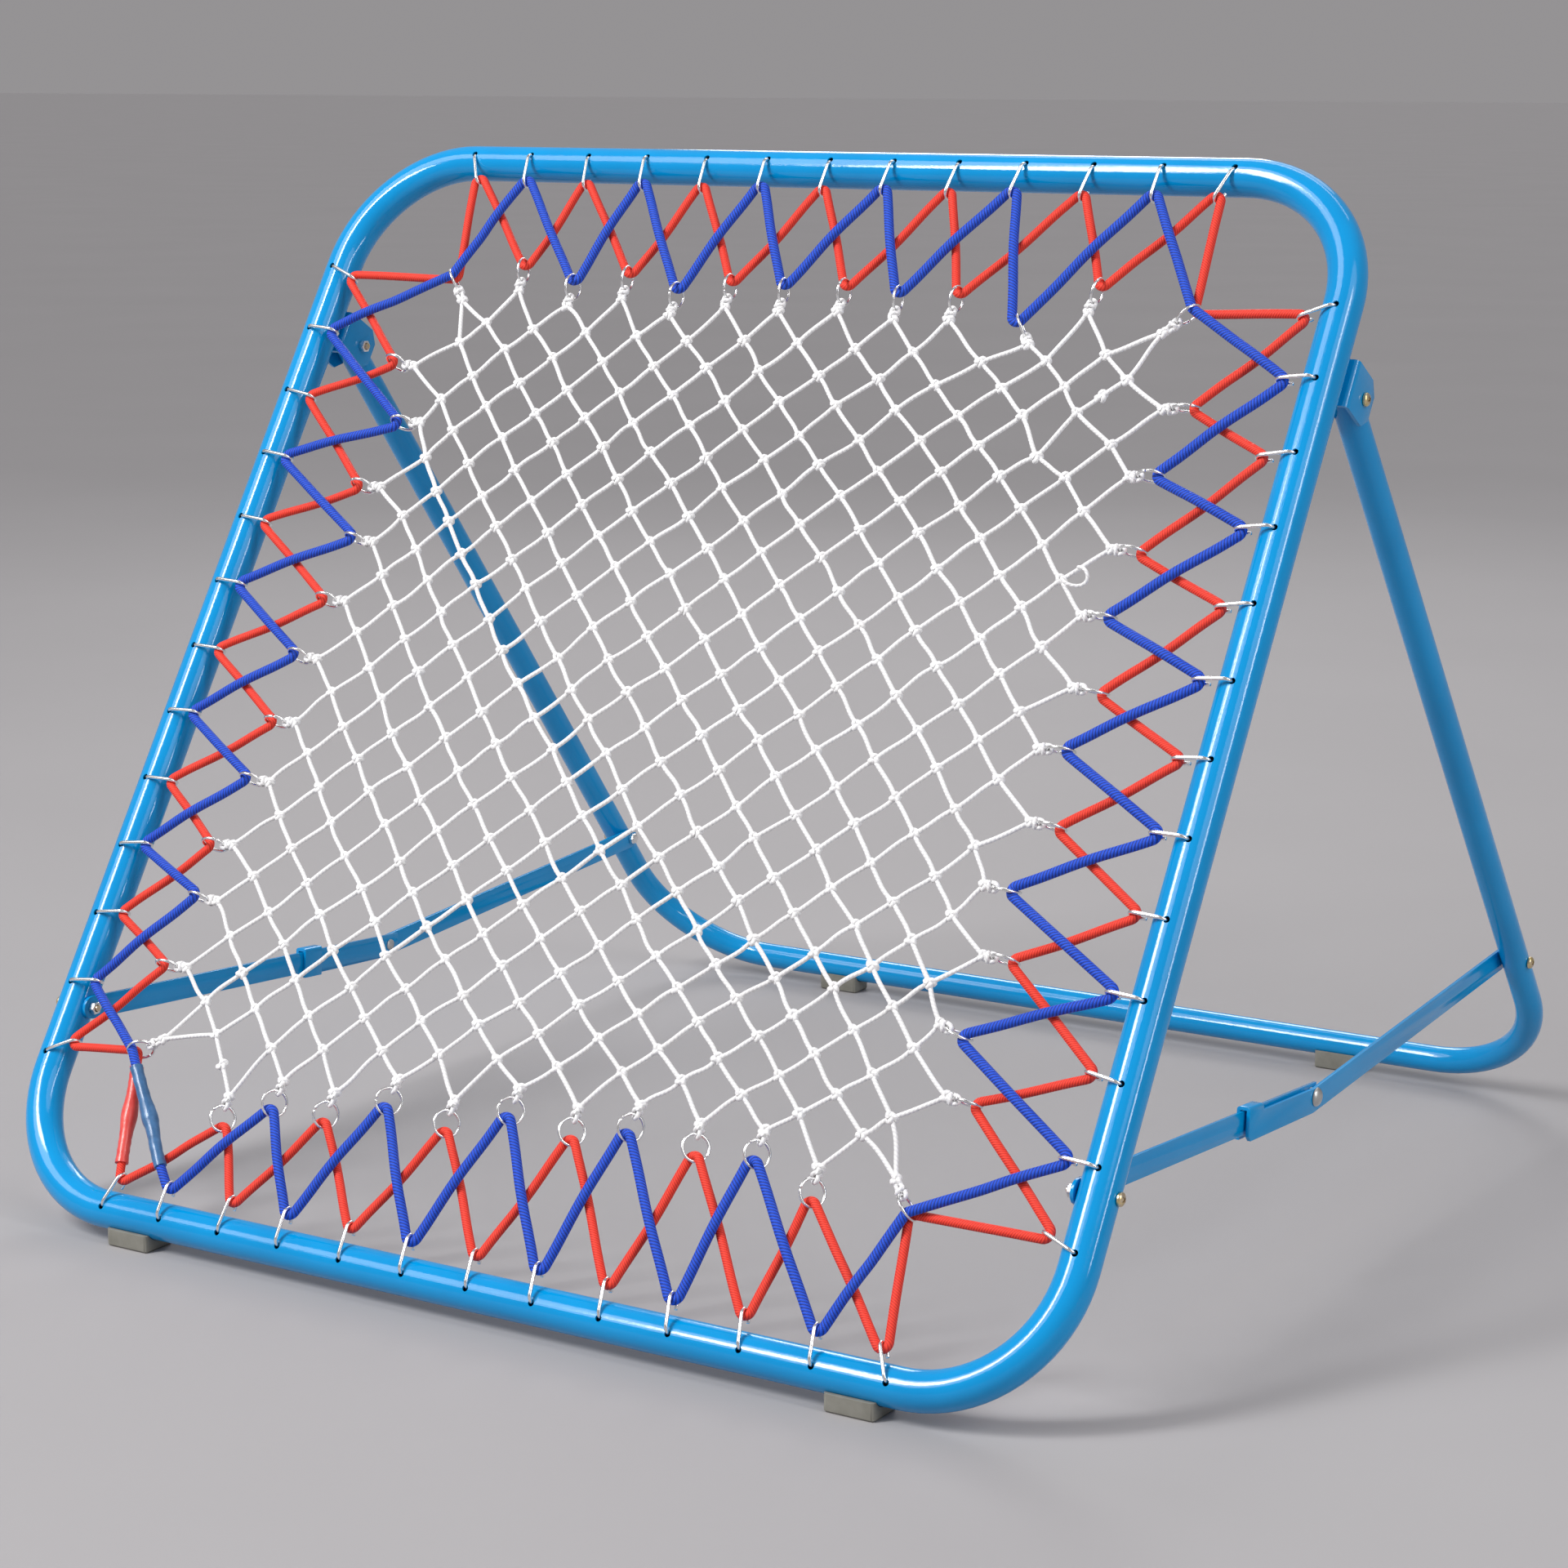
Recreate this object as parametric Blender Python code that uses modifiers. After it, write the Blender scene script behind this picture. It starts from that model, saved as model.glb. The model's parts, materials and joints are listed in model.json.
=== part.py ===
"""Folding ball rebounder: a leaning square tube frame with a knotted net hung on two elastic cords.

Units are metres, +Z is up and the net faces -Y. The origin is on the floor, under the middle of
the object's outer box. Frame pieces are drawn in the frame's own plane: X across, Y up along the
frame and Z out towards the player, all measured from the centre of the tube loop.
"""
from math import acos, atan2, cos, pi, radians, sin, sqrt

import bmesh
import bpy
import numpy as np
from mathutils import Matrix, Vector

GAP = 0.0003                    # between pieces that touch

# Front frame: one closed loop of steel tube
LEAN = radians(32.4)            # from upright, backwards
FRAME_WIDTH = 1.000             # all tube sizes are between centre lines
FRAME_HEIGHT = 1.014
FRAME_TUBE = 0.016              # outer radius
FRAME_CORNER = 0.112
WALL = 0.0015
FRAME_RISE = 0.0244             # centre of the bottom tube above the floor

# Rear leg: a U of thinner tube, hinged near the top of the frame
LEG_WIDTH = 1.004
LEG_LENGTH = 0.877
LEG_TUBE = 0.0127
LEG_CORNER = 0.120
LEG_RISE = 0.0237
LEG_END = 0.014                 # tube past the hinge axis
HINGE_UP = 0.336                # hinge axis above the frame's centre
HINGE_BACK = 0.044

# Hinge brackets: folded 3 mm sheet
SHEET = 0.003
EAR_HALF = 0.0205
EAR_DEPTH = 0.044
EAR_CHAMFER = 0.010

# Braces: two flat bars each, locked by a clip just past straight
FRONT_PIVOT = 0.168             # above the bottom tube, along the frame
REAR_PIVOT = 0.1755             # above the floor tube, along the leg
FRONT_BAR = 0.4145
REAR_BAR = 0.4205
BAR_HALF = 0.010
BAR_THICK = 0.003
BAR_TAIL = 0.012                # front bar past the rivet
CATCH_REACH = 0.131             # rear bar past the rivet, to the clip's end
CLIP_LENGTH = 0.024
CLIP_DROP = 0.026
CUT_CORNER = 0.007              # lower corner of the front bar's end
CATCH_TOP = 0.0075              # the catch's edges, from the front bar's middle line
CATCH_LOW = 0.0145

# Fasteners
SHANK = 0.003
HEAD = 0.0055
HEAD_HEIGHT = 0.0042
NUT_FLATS = 0.010
NUT_HEIGHT = 0.005
RIVET_SHANK = 0.0035
RIVET_HEAD = 0.008
RIVET_DOME = 0.0045
RIVET_TAIL = 0.0052             # radius of the closing head
SPACER = 0.0075
THREAD_END = 0.0015             # bolt past its nut

# Moulded feet
FRONT_FOOT_OUT = 0.352          # from the middle plane
REAR_FOOT_OUT = 0.286
FOOT_LENGTH = 0.044
FRONT_FOOT_DEPTH = 0.034
REAR_FOOT_DEPTH = 0.027
FOOT_WALL_UP = 0.0065           # side walls above the tube's lowest line
FOOT_STEM = 0.004
STEM_BITE = 0.004               # stem past the tube's wall, and into the foot
FOOT_ROUNDING = 0.003

# Net and cords
PITCH_ACROSS = 0.0636           # between hook holes
PITCH_UP = 0.0645
MESHES = 12
CORD = 0.004
CORD_PLANE = 0.013              # in front of the frame's centre plane
CORD_ROUNDING = 0.005
CORD_BOW = 0.0046               # each cord's step aside where two cross
JOINT_BOW = 0.0060              # the same for the blue cord's thicker sleeve
HOOK_REACH = 0.0255             # from a hook's hole to the cord that it holds
TWINE = 0.002
LINK = 0.025                    # from a ring's cord to the net's edge knot
CORNER_LINK = 0.030
EDGE_PULL = 0.90                # pull of a bar that reaches an edge knot, next to an inner bar's
CORNER_PULL = 0.75
LINK_ROUNDS = 12
SLEEVE = 0.0056
SLEEVE_LENGTH = 0.080

# Where each ring holds its cord, in the frame's plane; tied by hand, so not quite even
RING_SEATS = {
    "top": ((-0.285, 0.396), (-0.225, 0.382), (-0.170, 0.392), (-0.113, 0.378), (-0.061, 0.388),
            (-0.006, 0.386), (0.054, 0.388), (0.108, 0.383), (0.164, 0.385), (0.229, 0.361),
            (0.292, 0.397)),
    "right": ((0.404, 0.292), (0.391, 0.231), (0.394, 0.165), (0.384, 0.108), (0.395, 0.045),
              (0.381, -0.005), (0.392, -0.068), (0.369, -0.123), (0.385, -0.178), (0.364, -0.242),
              (0.388, -0.292)),
    "bottom": ((-0.290, -0.420), (-0.244, -0.399), (-0.189, -0.400), (-0.132, -0.379),
               (-0.069, -0.388), (-0.013, -0.368), (0.050, -0.375), (0.101, -0.363),
               (0.165, -0.369), (0.219, -0.365), (0.276, -0.386)),
    "left": ((-0.394, 0.293), (-0.364, 0.233), (-0.384, 0.169), (-0.370, 0.118), (-0.378, 0.057),
             (-0.387, 0.002), (-0.386, -0.062), (-0.391, -0.117), (-0.406, -0.181),
             (-0.401, -0.229), (-0.409, -0.294)),
}
CORNER_RINGS = {
    "top_left": (-0.359, 0.382),
    "top_right": (0.381, 0.378),
    "bottom_left": (-0.406, -0.373),
    "bottom_right": (0.361, -0.382),
}
# Each side: its outward way, and whether its numbering goes with a clockwise walk
OUTWARD = {"top": (0, 1), "right": (1, 0), "bottom": (0, -1), "left": (-1, 0)}
COUNTED_FORWARD = {"top": True, "right": True, "bottom": False, "left": False}
# The corners before ring 1 and after ring 11 of each side
LOW_CORNER = {"top": "top_left", "right": "top_right",
              "bottom": "bottom_left", "left": "top_left"}
HIGH_CORNER = {"top": "top_right", "right": "bottom_right",
               "bottom": "bottom_right", "left": "bottom_left"}
# Knots have whole numbers across and down, 0 to LAST; the net's inner knots are the odd sums
LAST = 2 * MESHES
CORNERS = {(0, 0): "top_left", (LAST, 0): "top_right",
           (0, LAST): "bottom_left", (LAST, LAST): "bottom_right"}

HINGE_HEIGHT = (FRAME_RISE + (FRAME_HEIGHT / 2 + HINGE_UP) * cos(LEAN) - HINGE_BACK * sin(LEAN))
LEG_SPLAY = acos((HINGE_HEIGHT - LEG_RISE) / LEG_LENGTH)
HINGE_RUN = (FRAME_HEIGHT / 2 + HINGE_UP) * sin(LEAN) + HINGE_BACK * cos(LEAN)
FLOOR_RUN = HINGE_RUN + LEG_LENGTH * sin(LEG_SPLAY)
FRONT_Y = -(FLOOR_RUN + REAR_FOOT_DEPTH / 2 - FRONT_FOOT_DEPTH / 2) / 2
FRAME_CENTRE = Vector((0, FRONT_Y + FRAME_HEIGHT / 2 * sin(LEAN),
                       FRAME_RISE + FRAME_HEIGHT / 2 * cos(LEAN)))
HINGE = Vector((0, FRONT_Y + HINGE_RUN, HINGE_HEIGHT))
LEG_DOWN = Vector((0, sin(LEG_SPLAY), -cos(LEG_SPLAY)))
FRONT_BOLT = Vector((0, FRONT_Y + FRONT_PIVOT * sin(LEAN), FRAME_RISE + FRONT_PIVOT * cos(LEAN)))
REAR_BOLT = HINGE + LEG_DOWN * (LEG_LENGTH - REAR_PIVOT)

FRAME_SIDE = FRAME_WIDTH / 2
LEG_SIDE = LEG_WIDTH / 2
FRONT_BAR_X = FRAME_SIDE - FRAME_TUBE - GAP - BAR_THICK / 2
REAR_BAR_X = LEG_SIDE - LEG_TUBE - GAP - BAR_THICK / 2


def rivet_point():
    """Where the two bars of a brace meet, below the line between their outer pivots."""
    chord = REAR_BOLT - FRONT_BOLT
    span = chord.length
    along = (FRONT_BAR ** 2 - REAR_BAR ** 2 + span ** 2) / (2 * span)
    below = sqrt(FRONT_BAR ** 2 - along ** 2)
    direction = chord / span
    down = Vector((0, direction.z, -direction.y))
    return FRONT_BOLT + direction * along + down * below


RIVET = rivet_point()


# ---------------------------------------------------------------- scene helpers

def clear_scene():
    for item in list(bpy.data.objects):
        bpy.data.objects.remove(item, do_unlink=True)


def new_collection(name):
    collection = bpy.data.collections.new(name)
    bpy.context.scene.collection.children.link(collection)
    return collection


def new_material(name, colour, roughness, metallic=0.0):
    material = bpy.data.materials.new(name)
    material.use_nodes = True
    shader = material.node_tree.nodes["Principled BSDF"]
    shader.inputs["Base Color"].default_value = (*colour, 1)
    shader.inputs["Roughness"].default_value = roughness
    shader.inputs["Metallic"].default_value = metallic
    material.diffuse_color = (*colour, 1)
    return material


clear_scene()
PARTS = new_collection("ball_rebounder")
CUTTERS = new_collection("cutters")
MATERIALS = {
    "paint": new_material("blue_paint", (0.0, 0.30, 0.76), 0.25),
    "zinc": new_material("zinc", (0.62, 0.62, 0.60), 0.35, 1.0),
    "yellow_zinc": new_material("yellow_zinc", (0.70, 0.55, 0.28), 0.35, 1.0),
    "plastic": new_material("grey_plastic", (0.22, 0.22, 0.19), 0.60),
    "twine": new_material("white_twine", (0.85, 0.85, 0.86), 0.80),
    "red_cord": new_material("red_cord", (0.85, 0.05, 0.02), 0.70),
    "blue_cord": new_material("blue_cord", (0.01, 0.05, 0.50), 0.70),
    "red_sleeve": new_material("red_sleeve", (0.80, 0.10, 0.08), 0.35),
    "blue_sleeve": new_material("blue_sleeve", (0.06, 0.16, 0.40), 0.35),
}


def new_empty(name, location, rotation=(0, 0, 0)):
    empty = bpy.data.objects.new(name, None)
    empty.location = location
    empty.rotation_euler = rotation
    empty.empty_display_size = 0.05
    PARTS.objects.link(empty)
    return empty


FRAME_PLANE = new_empty("frame_plane", FRAME_CENTRE, (pi / 2 - LEAN, 0, 0))
LEG_PIVOT = new_empty("leg_pivot", HINGE, (pi / 2 + LEG_SPLAY, 0, 0))


def add_part(name, data, material, parent=None, location=(0, 0, 0), rotation=(0, 0, 0)):
    part = bpy.data.objects.new(name, data)
    data.materials.clear()
    data.materials.append(MATERIALS[material])
    part.parent = parent
    part.location = location
    part.rotation_euler = rotation
    PARTS.objects.link(part)
    return part


def cut(part, cutters, operation="DIFFERENCE"):
    for cutter in cutters:
        for collection in list(cutter.users_collection):
            collection.objects.unlink(cutter)
        CUTTERS.objects.link(cutter)
        cutter.hide_render = True
        cutter.display_type = "WIRE"
        boolean = part.modifiers.new(f"{operation.lower()}_{cutter.name}", "BOOLEAN")
        boolean.object = cutter
        boolean.operation = operation
        boolean.solver = "EXACT"


def smooth(part, angle=40):
    part.data.shade_smooth()
    part.data.set_sharp_from_angle(angle=radians(angle))
    return part


# ---------------------------------------------------------------- shape helpers

def swept_mesh(name, points, radius, sides, cyclic=False):
    """Mesh of a round wire or tube along a list of points."""
    curve = bpy.data.curves.new(name + "_path", "CURVE")
    curve.dimensions = "3D"
    curve.bevel_depth = radius
    curve.bevel_resolution = sides // 2 - 2
    curve.use_fill_caps = True
    spline = curve.splines.new("POLY")
    spline.points.add(len(points) - 1)
    for spot, point in zip(spline.points, points):
        spot.co = (*point, 1)
    spline.use_cyclic_u = cyclic
    holder = bpy.data.objects.new(name + "_path", curve)
    PARTS.objects.link(holder)
    bpy.context.view_layer.update()
    evaluated = holder.evaluated_get(bpy.context.evaluated_depsgraph_get())
    mesh = bpy.data.meshes.new_from_object(evaluated)
    mesh.name = name
    bpy.data.objects.remove(holder)
    bpy.data.curves.remove(curve)
    form = bmesh.new()
    form.from_mesh(mesh)
    bmesh.ops.remove_doubles(form, verts=form.verts, dist=1e-6)
    bmesh.ops.recalc_face_normals(form, faces=form.faces)
    form.to_mesh(mesh)
    form.free()
    return mesh


def cylinder_mesh(name, radius, length, sides=16):
    """Cylinder along X, centred on its own origin."""
    form = bmesh.new()
    bmesh.ops.create_cone(form, cap_ends=True, segments=sides, radius1=radius, radius2=radius,
                          depth=length, matrix=Matrix.Rotation(pi / 2, 4, "Y"))
    mesh = bpy.data.meshes.new(name)
    form.to_mesh(mesh)
    form.free()
    return mesh


def cutter_along_x(name, radius, length, location, parent=None, sides=16):
    return add_part(name, cylinder_mesh(name, radius, length, sides), "zinc", parent, location)


def turned_part(name, profile, material, parent, location, rotation=(0, 0, 0), steps=16):
    """Solid of revolution about Z; the profile runs from the top of the axis to its bottom."""
    mesh = bpy.data.meshes.new(name)
    edges = [(i, i + 1) for i in range(len(profile) - 1)]
    mesh.from_pydata([(radius, 0, height) for radius, height in profile], edges, [])
    part = add_part(name, mesh, material, parent, location, rotation)
    screw = part.modifiers.new("turn", "SCREW")
    screw.steps = screw.render_steps = steps
    screw.use_merge_vertices = True
    screw.merge_threshold = 0.00001
    screw.use_smooth_shade = True
    return part


def flat_outline(name, loops, thickness):
    """2D curve filled between its loops, as thick as a plate, twine net or bar."""
    curve = bpy.data.curves.new(name, "CURVE")
    curve.dimensions = "2D"
    curve.fill_mode = "BOTH"
    curve.extrude = thickness / 2
    for loop in loops:
        spline = curve.splines.new("POLY")
        spline.points.add(len(loop) - 1)
        for spot, (x, y) in zip(spline.points, loop):
            spot.co = (x, y, 0, 1)
        spline.use_cyclic_u = True
    return curve


def arc(centre_x, centre_y, radius, start, end, steps):
    """Points on an arc; the angles are in degrees."""
    angles = [radians(start + (end - start) * i / steps) for i in range(steps + 1)]
    return [(centre_x + radius * cos(a), centre_y + radius * sin(a)) for a in angles]


def mesh_from_curve(name, curve):
    holder = bpy.data.objects.new(name + "_outline", curve)
    PARTS.objects.link(holder)
    bpy.context.view_layer.update()
    evaluated = holder.evaluated_get(bpy.context.evaluated_depsgraph_get())
    mesh = bpy.data.meshes.new_from_object(evaluated)
    mesh.name = name
    bpy.data.objects.remove(holder)
    bpy.data.curves.remove(curve)
    form = bmesh.new()
    form.from_mesh(mesh)
    bmesh.ops.remove_doubles(form, verts=form.verts, dist=1e-6)
    form.to_mesh(mesh)
    form.free()
    return mesh


def side_rotation(direction, side):
    """Turns X along a direction in the YZ plane and Z outwards on the given side."""
    x_axis = Vector(direction).normalized()
    z_axis = Vector((side, 0, 0))
    y_axis = z_axis.cross(x_axis)
    return Matrix((x_axis, y_axis, z_axis)).transposed().to_euler()


SIDE_NAMES = {1: "right", -1: "left"}


# ---------------------------------------------------------------- tubes

def rounded_loop(half_width, half_height, radius, steps=8):
    corners = ((1, 1, 0), (-1, 1, 90), (-1, -1, 180), (1, -1, 270))
    points = []
    for sign_x, sign_y, start in corners:
        centre = (sign_x * (half_width - radius), sign_y * (half_height - radius))
        points += arc(*centre, radius, start, start + 90, steps)
    return [(x, y, 0) for x, y in points]


def bolt_hole(name, location, parent=None):
    return cutter_along_x(name, SHANK + GAP, 0.06, location, parent)


def make_front_frame():
    path = rounded_loop(FRAME_SIDE, FRAME_HEIGHT / 2, FRAME_CORNER)
    frame = add_part("front_frame", swept_mesh("front_frame", path, FRAME_TUBE, 20, True),
                     "paint", FRAME_PLANE)
    hollow = add_part("frame_hollow", swept_mesh("frame_hollow", path, FRAME_TUBE - WALL, 12, True),
                      "paint", FRAME_PLANE)
    cutters = [hollow]
    for side, word in SIDE_NAMES.items():
        spot = (side * FRAME_SIDE, FRONT_BOLT.y, FRONT_BOLT.z)
        cutters.append(bolt_hole(f"front_bolt_hole_{word}", spot))
        spot = (side * FRONT_FOOT_OUT, FRONT_Y, FRAME_RISE - FRAME_TUBE)
        cutters.append(stem_hole(f"front_stem_hole_{word}", spot))
    cut(frame, cutters)
    return smooth(frame)


def leg_path(steps=7):
    """U from one hinge to the other, in the leg's own plane with the hinge axis along X."""
    bend = LEG_CORNER
    right = arc(LEG_SIDE - bend, -LEG_LENGTH + bend, bend, 0, -90, steps)
    left = arc(-LEG_SIDE + bend, -LEG_LENGTH + bend, bend, -90, -180, steps)
    points = [(LEG_SIDE, LEG_END)] + right + left + [(-LEG_SIDE, LEG_END)]
    return [(x, y, 0) for x, y in points]


def make_rear_leg():
    path = leg_path()
    leg = add_part("rear_leg", swept_mesh("rear_leg", path, LEG_TUBE, 16), "paint", LEG_PIVOT)
    bore = [(x, y + (0.01 if y > 0 else 0), z) for x, y, z in path]
    cutters = [add_part("leg_hollow", swept_mesh("leg_hollow", bore, LEG_TUBE - WALL, 10),
                        "paint", LEG_PIVOT)]
    for side, word in SIDE_NAMES.items():
        cutters.append(bolt_hole(f"hinge_hole_{word}", (side * LEG_SIDE, 0, 0), LEG_PIVOT))
        cutters.append(bolt_hole(f"rear_bolt_hole_{word}",
                                 (side * LEG_SIDE, -LEG_LENGTH + REAR_PIVOT, 0), LEG_PIVOT))
        spot = (side * REAR_FOOT_OUT, FRONT_Y + FLOOR_RUN, LEG_RISE - LEG_TUBE)
        cutters.append(stem_hole(f"rear_stem_hole_{word}", spot))
    cut(leg, cutters)
    return smooth(leg)


# ---------------------------------------------------------------- feet

def stem_hole(name, location):
    mesh = cylinder_mesh(name, FOOT_STEM + GAP, 0.012)
    return add_part(name, mesh, "plastic", None, location, (0, pi / 2, 0))


def make_foot(name, x, y, rise, tube, depth):
    """Block with a cradle for the tube and a stem that plugs into it."""
    height = rise - tube + FOOT_WALL_UP
    form = bmesh.new()
    bmesh.ops.create_cube(form, size=1)
    bmesh.ops.scale(form, vec=(FOOT_LENGTH, depth, height), verts=form.verts)
    upright = [e for e in form.edges if abs(e.verts[0].co.z - e.verts[1].co.z) > height / 2]
    bmesh.ops.bevel(form, geom=upright, offset=FOOT_ROUNDING, segments=2, affect="EDGES", profile=0.5)
    low = [e for e in form.edges if all(v.co.z < 0 for v in e.verts)]
    bmesh.ops.bevel(form, geom=low, offset=FOOT_ROUNDING / 2, segments=1, affect="EDGES", profile=0.5)
    bmesh.ops.translate(form, vec=(0, 0, height / 2), verts=form.verts)
    mesh = bpy.data.meshes.new(name)
    form.to_mesh(mesh)
    form.free()
    foot = add_part(name, mesh, "plastic", None, (x, y, 0))
    cradle = cutter_along_x(name + "_cradle", tube + GAP, 0.2, (x, y, rise), sides=32)
    cut(foot, [cradle])
    stem_low = rise - tube - STEM_BITE
    stem_high = rise - tube + WALL + STEM_BITE
    stem = add_part(name + "_stem", cylinder_mesh(name + "_stem", FOOT_STEM, stem_high - stem_low, 12),
                    "plastic", None, (x, y, (stem_low + stem_high) / 2), (0, pi / 2, 0))
    cut(foot, [stem], "UNION")
    return foot


def make_feet():
    for side, word in SIDE_NAMES.items():
        make_foot(f"front_foot_{word}", side * FRONT_FOOT_OUT, FRONT_Y, FRAME_RISE, FRAME_TUBE,
                  FRONT_FOOT_DEPTH)
        make_foot(f"rear_foot_{word}", side * REAR_FOOT_OUT, FRONT_Y + FLOOR_RUN, LEG_RISE, LEG_TUBE,
                  REAR_FOOT_DEPTH)


# ---------------------------------------------------------------- fasteners

def bolt_profile(length):
    """Pan head above Z = 0 and a shank below it."""
    dome = [(HEAD * sin(radians(a)), HEAD_HEIGHT * (0.35 + 0.65 * cos(radians(a))))
            for a in (0, 30, 60, 90)]
    return dome + [(HEAD, 0), (SHANK, 0), (SHANK, -length), (0, -length)]


def make_bolt(name, side, seat_x, end_x, centre, parent=None):
    """Bolt with its head outside at seat_x and its shank running inwards to end_x."""
    turn = (0, side * pi / 2, 0)
    location = (side * seat_x, centre[1], centre[2])
    return turned_part(name, bolt_profile(seat_x - end_x), "yellow_zinc", parent, location, turn)


def make_nut(name, side, seat_x, centre, parent=None, stub_to=None):
    """Hex nut inside seat_x; one that turns with its bar holds the bolt's end as a stub."""
    radius = NUT_FLATS / 2 / cos(pi / 6)
    location = (side * (seat_x - NUT_HEIGHT / 2), centre[1], centre[2])
    nut = add_part(name, cylinder_mesh(name, radius, NUT_HEIGHT, 6), "zinc", parent, location)
    if stub_to is None:
        cut(nut, [cutter_along_x(name + "_bore", SHANK + GAP, 0.02, location, parent)])
        return nut
    middle = (stub_to + seat_x - NUT_HEIGHT) / 2
    length = stub_to - seat_x + NUT_HEIGHT - 0.001
    stub = add_part(name + "_stub", cylinder_mesh(name + "_stub", SHANK, length), "zinc", parent,
                    (side * middle, centre[1], centre[2]))
    cut(nut, [stub], "UNION")
    return nut


# ---------------------------------------------------------------- hinge brackets

def make_bracket(side):
    """Folded channel: its base lies on the tube's back and its ears hold the leg's end."""
    name = f"hinge_bracket_{SIDE_NAMES[side]}"
    half = LEG_TUBE + GAP + SHEET / 2
    front = -FRAME_TUBE - GAP - SHEET / 2
    back = front - EAR_DEPTH
    centre_x = side * LEG_SIDE
    form = bmesh.new()
    ear = [(front, -EAR_HALF), (back + EAR_CHAMFER, -EAR_HALF), (back, -EAR_HALF + EAR_CHAMFER),
           (back, EAR_HALF - EAR_CHAMFER), (back + EAR_CHAMFER, EAR_HALF), (front, EAR_HALF)]
    ears = []
    for way in (-1, 1):
        ears.append([form.verts.new((centre_x + way * half, HINGE_UP + y, z)) for z, y in ear])
    form.faces.new(ears[0])
    form.faces.new(reversed(ears[1]))
    form.faces.new((ears[0][0], ears[0][5], ears[1][5], ears[1][0]))
    bmesh.ops.recalc_face_normals(form, faces=form.faces)
    mesh = bpy.data.meshes.new(name)
    form.to_mesh(mesh)
    form.free()
    bracket = add_part(name, mesh, "paint", FRAME_PLANE)
    shell = bracket.modifiers.new("sheet", "SOLIDIFY")
    shell.thickness = SHEET
    shell.offset = 0
    shell.use_even_offset = True
    cut(bracket, [bolt_hole(name + "_hole", (centre_x, HINGE_UP, -HINGE_BACK), FRAME_PLANE)])
    return bracket


def make_hinges():
    seat = LEG_TUBE + 2 * GAP + SHEET
    for side, word in SIDE_NAMES.items():
        make_bracket(side)
        centre = (0, HINGE.y, HINGE.z)
        end = LEG_SIDE - seat - NUT_HEIGHT - THREAD_END
        make_bolt(f"hinge_bolt_{word}", side, LEG_SIDE + seat, end, centre)
        make_nut(f"hinge_nut_{word}", side, LEG_SIDE - seat, centre)


# ---------------------------------------------------------------- braces

def front_bar_outline():
    """Round at the frame's bolt, square past the rivet with its lower corner cut off."""
    end = FRONT_BAR + BAR_TAIL
    nose = arc(0, 0, BAR_HALF, 90, 270, 8)
    corner = [(end - CUT_CORNER, -BAR_HALF), (end, -BAR_HALF + CUT_CORNER), (end, BAR_HALF)]
    return nose + corner


def make_front_bar(side):
    name = f"brace_front_bar_{SIDE_NAMES[side]}"
    mesh = mesh_from_curve(name, flat_outline(name, [front_bar_outline()], BAR_THICK))
    if side < 0:
        mesh.transform(Matrix.Scale(-1, 4, (0, 1, 0)))
        mesh.flip_normals()
    location = (side * FRONT_BAR_X, FRONT_BOLT.y, FRONT_BOLT.z)
    bar = add_part(name, mesh, "paint", None, location, side_rotation(RIVET - FRONT_BOLT, side))
    cut(bar, [
        bolt_hole(name + "_bolt_hole", location),
        cutter_along_x(name + "_rivet_hole", RIVET_SHANK + GAP, 0.06, (location[0], RIVET.y, RIVET.z)),
    ])
    return bar


def rear_bar_outline():
    """Side view along the bar from the rivet; the catch runs back along the front bar."""
    rear = REAR_BOLT - RIVET
    front = FRONT_BOLT - RIVET
    bend = pi - atan2(front.z, front.y) + atan2(rear.z, rear.y)
    top = BAR_HALF + 2 * GAP + SHEET / 2
    clip_start = CATCH_REACH - CLIP_LENGTH
    catch = [(0.004, CATCH_TOP), (clip_start - 0.004, CATCH_TOP), (clip_start, top),
             (CATCH_REACH, top), (CATCH_REACH, 0.004 - CATCH_LOW),
             (CATCH_REACH - 0.004, -CATCH_LOW), (0.004, 0.0015 - CATCH_LOW)]
    turned = []
    for x, y in catch:
        turned.append((-x * cos(bend) + y * sin(bend), x * sin(bend) + y * cos(bend)))
    nose = arc(REAR_BAR, 0, BAR_HALF, -90, 90, 8)
    return turned, nose, bend


def make_rear_bar(side):
    """Flat bar whose front end folds over the top edge of the front bar as a clip."""
    name = f"brace_rear_bar_{SIDE_NAMES[side]}"
    catch, nose, bend = rear_bar_outline()
    form = bmesh.new()
    ring = [form.verts.new((x, y * side, 0)) for x, y in catch + nose]
    form.faces.new(ring)
    across = -(REAR_BAR_X - FRONT_BAR_X + BAR_THICK + GAP)
    fold = [form.verts.new((v.co.x, v.co.y, across)) for v in (ring[2], ring[3])]
    drop = Vector((-sin(bend), -cos(bend) * side, 0)) * CLIP_DROP
    flap = [form.verts.new(v.co + drop) for v in fold]
    form.faces.new((ring[2], ring[3], fold[1], fold[0]))
    form.faces.new((fold[0], fold[1], flap[1], flap[0]))
    bmesh.ops.recalc_face_normals(form, faces=form.faces)
    mesh = bpy.data.meshes.new(name)
    form.to_mesh(mesh)
    form.free()
    location = (side * REAR_BAR_X, RIVET.y, RIVET.z)
    bar = add_part(name, mesh, "paint", None, location, side_rotation(REAR_BOLT - RIVET, side))
    shell = bar.modifiers.new("sheet", "SOLIDIFY")
    shell.thickness = BAR_THICK
    shell.offset = 0
    shell.use_even_offset = True
    cut(bar, [
        bolt_hole(name + "_bolt_hole", (location[0], REAR_BOLT.y, REAR_BOLT.z)),
        cutter_along_x(name + "_rivet_hole", RIVET_SHANK + GAP, 0.06, location),
    ])
    return bar


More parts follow.
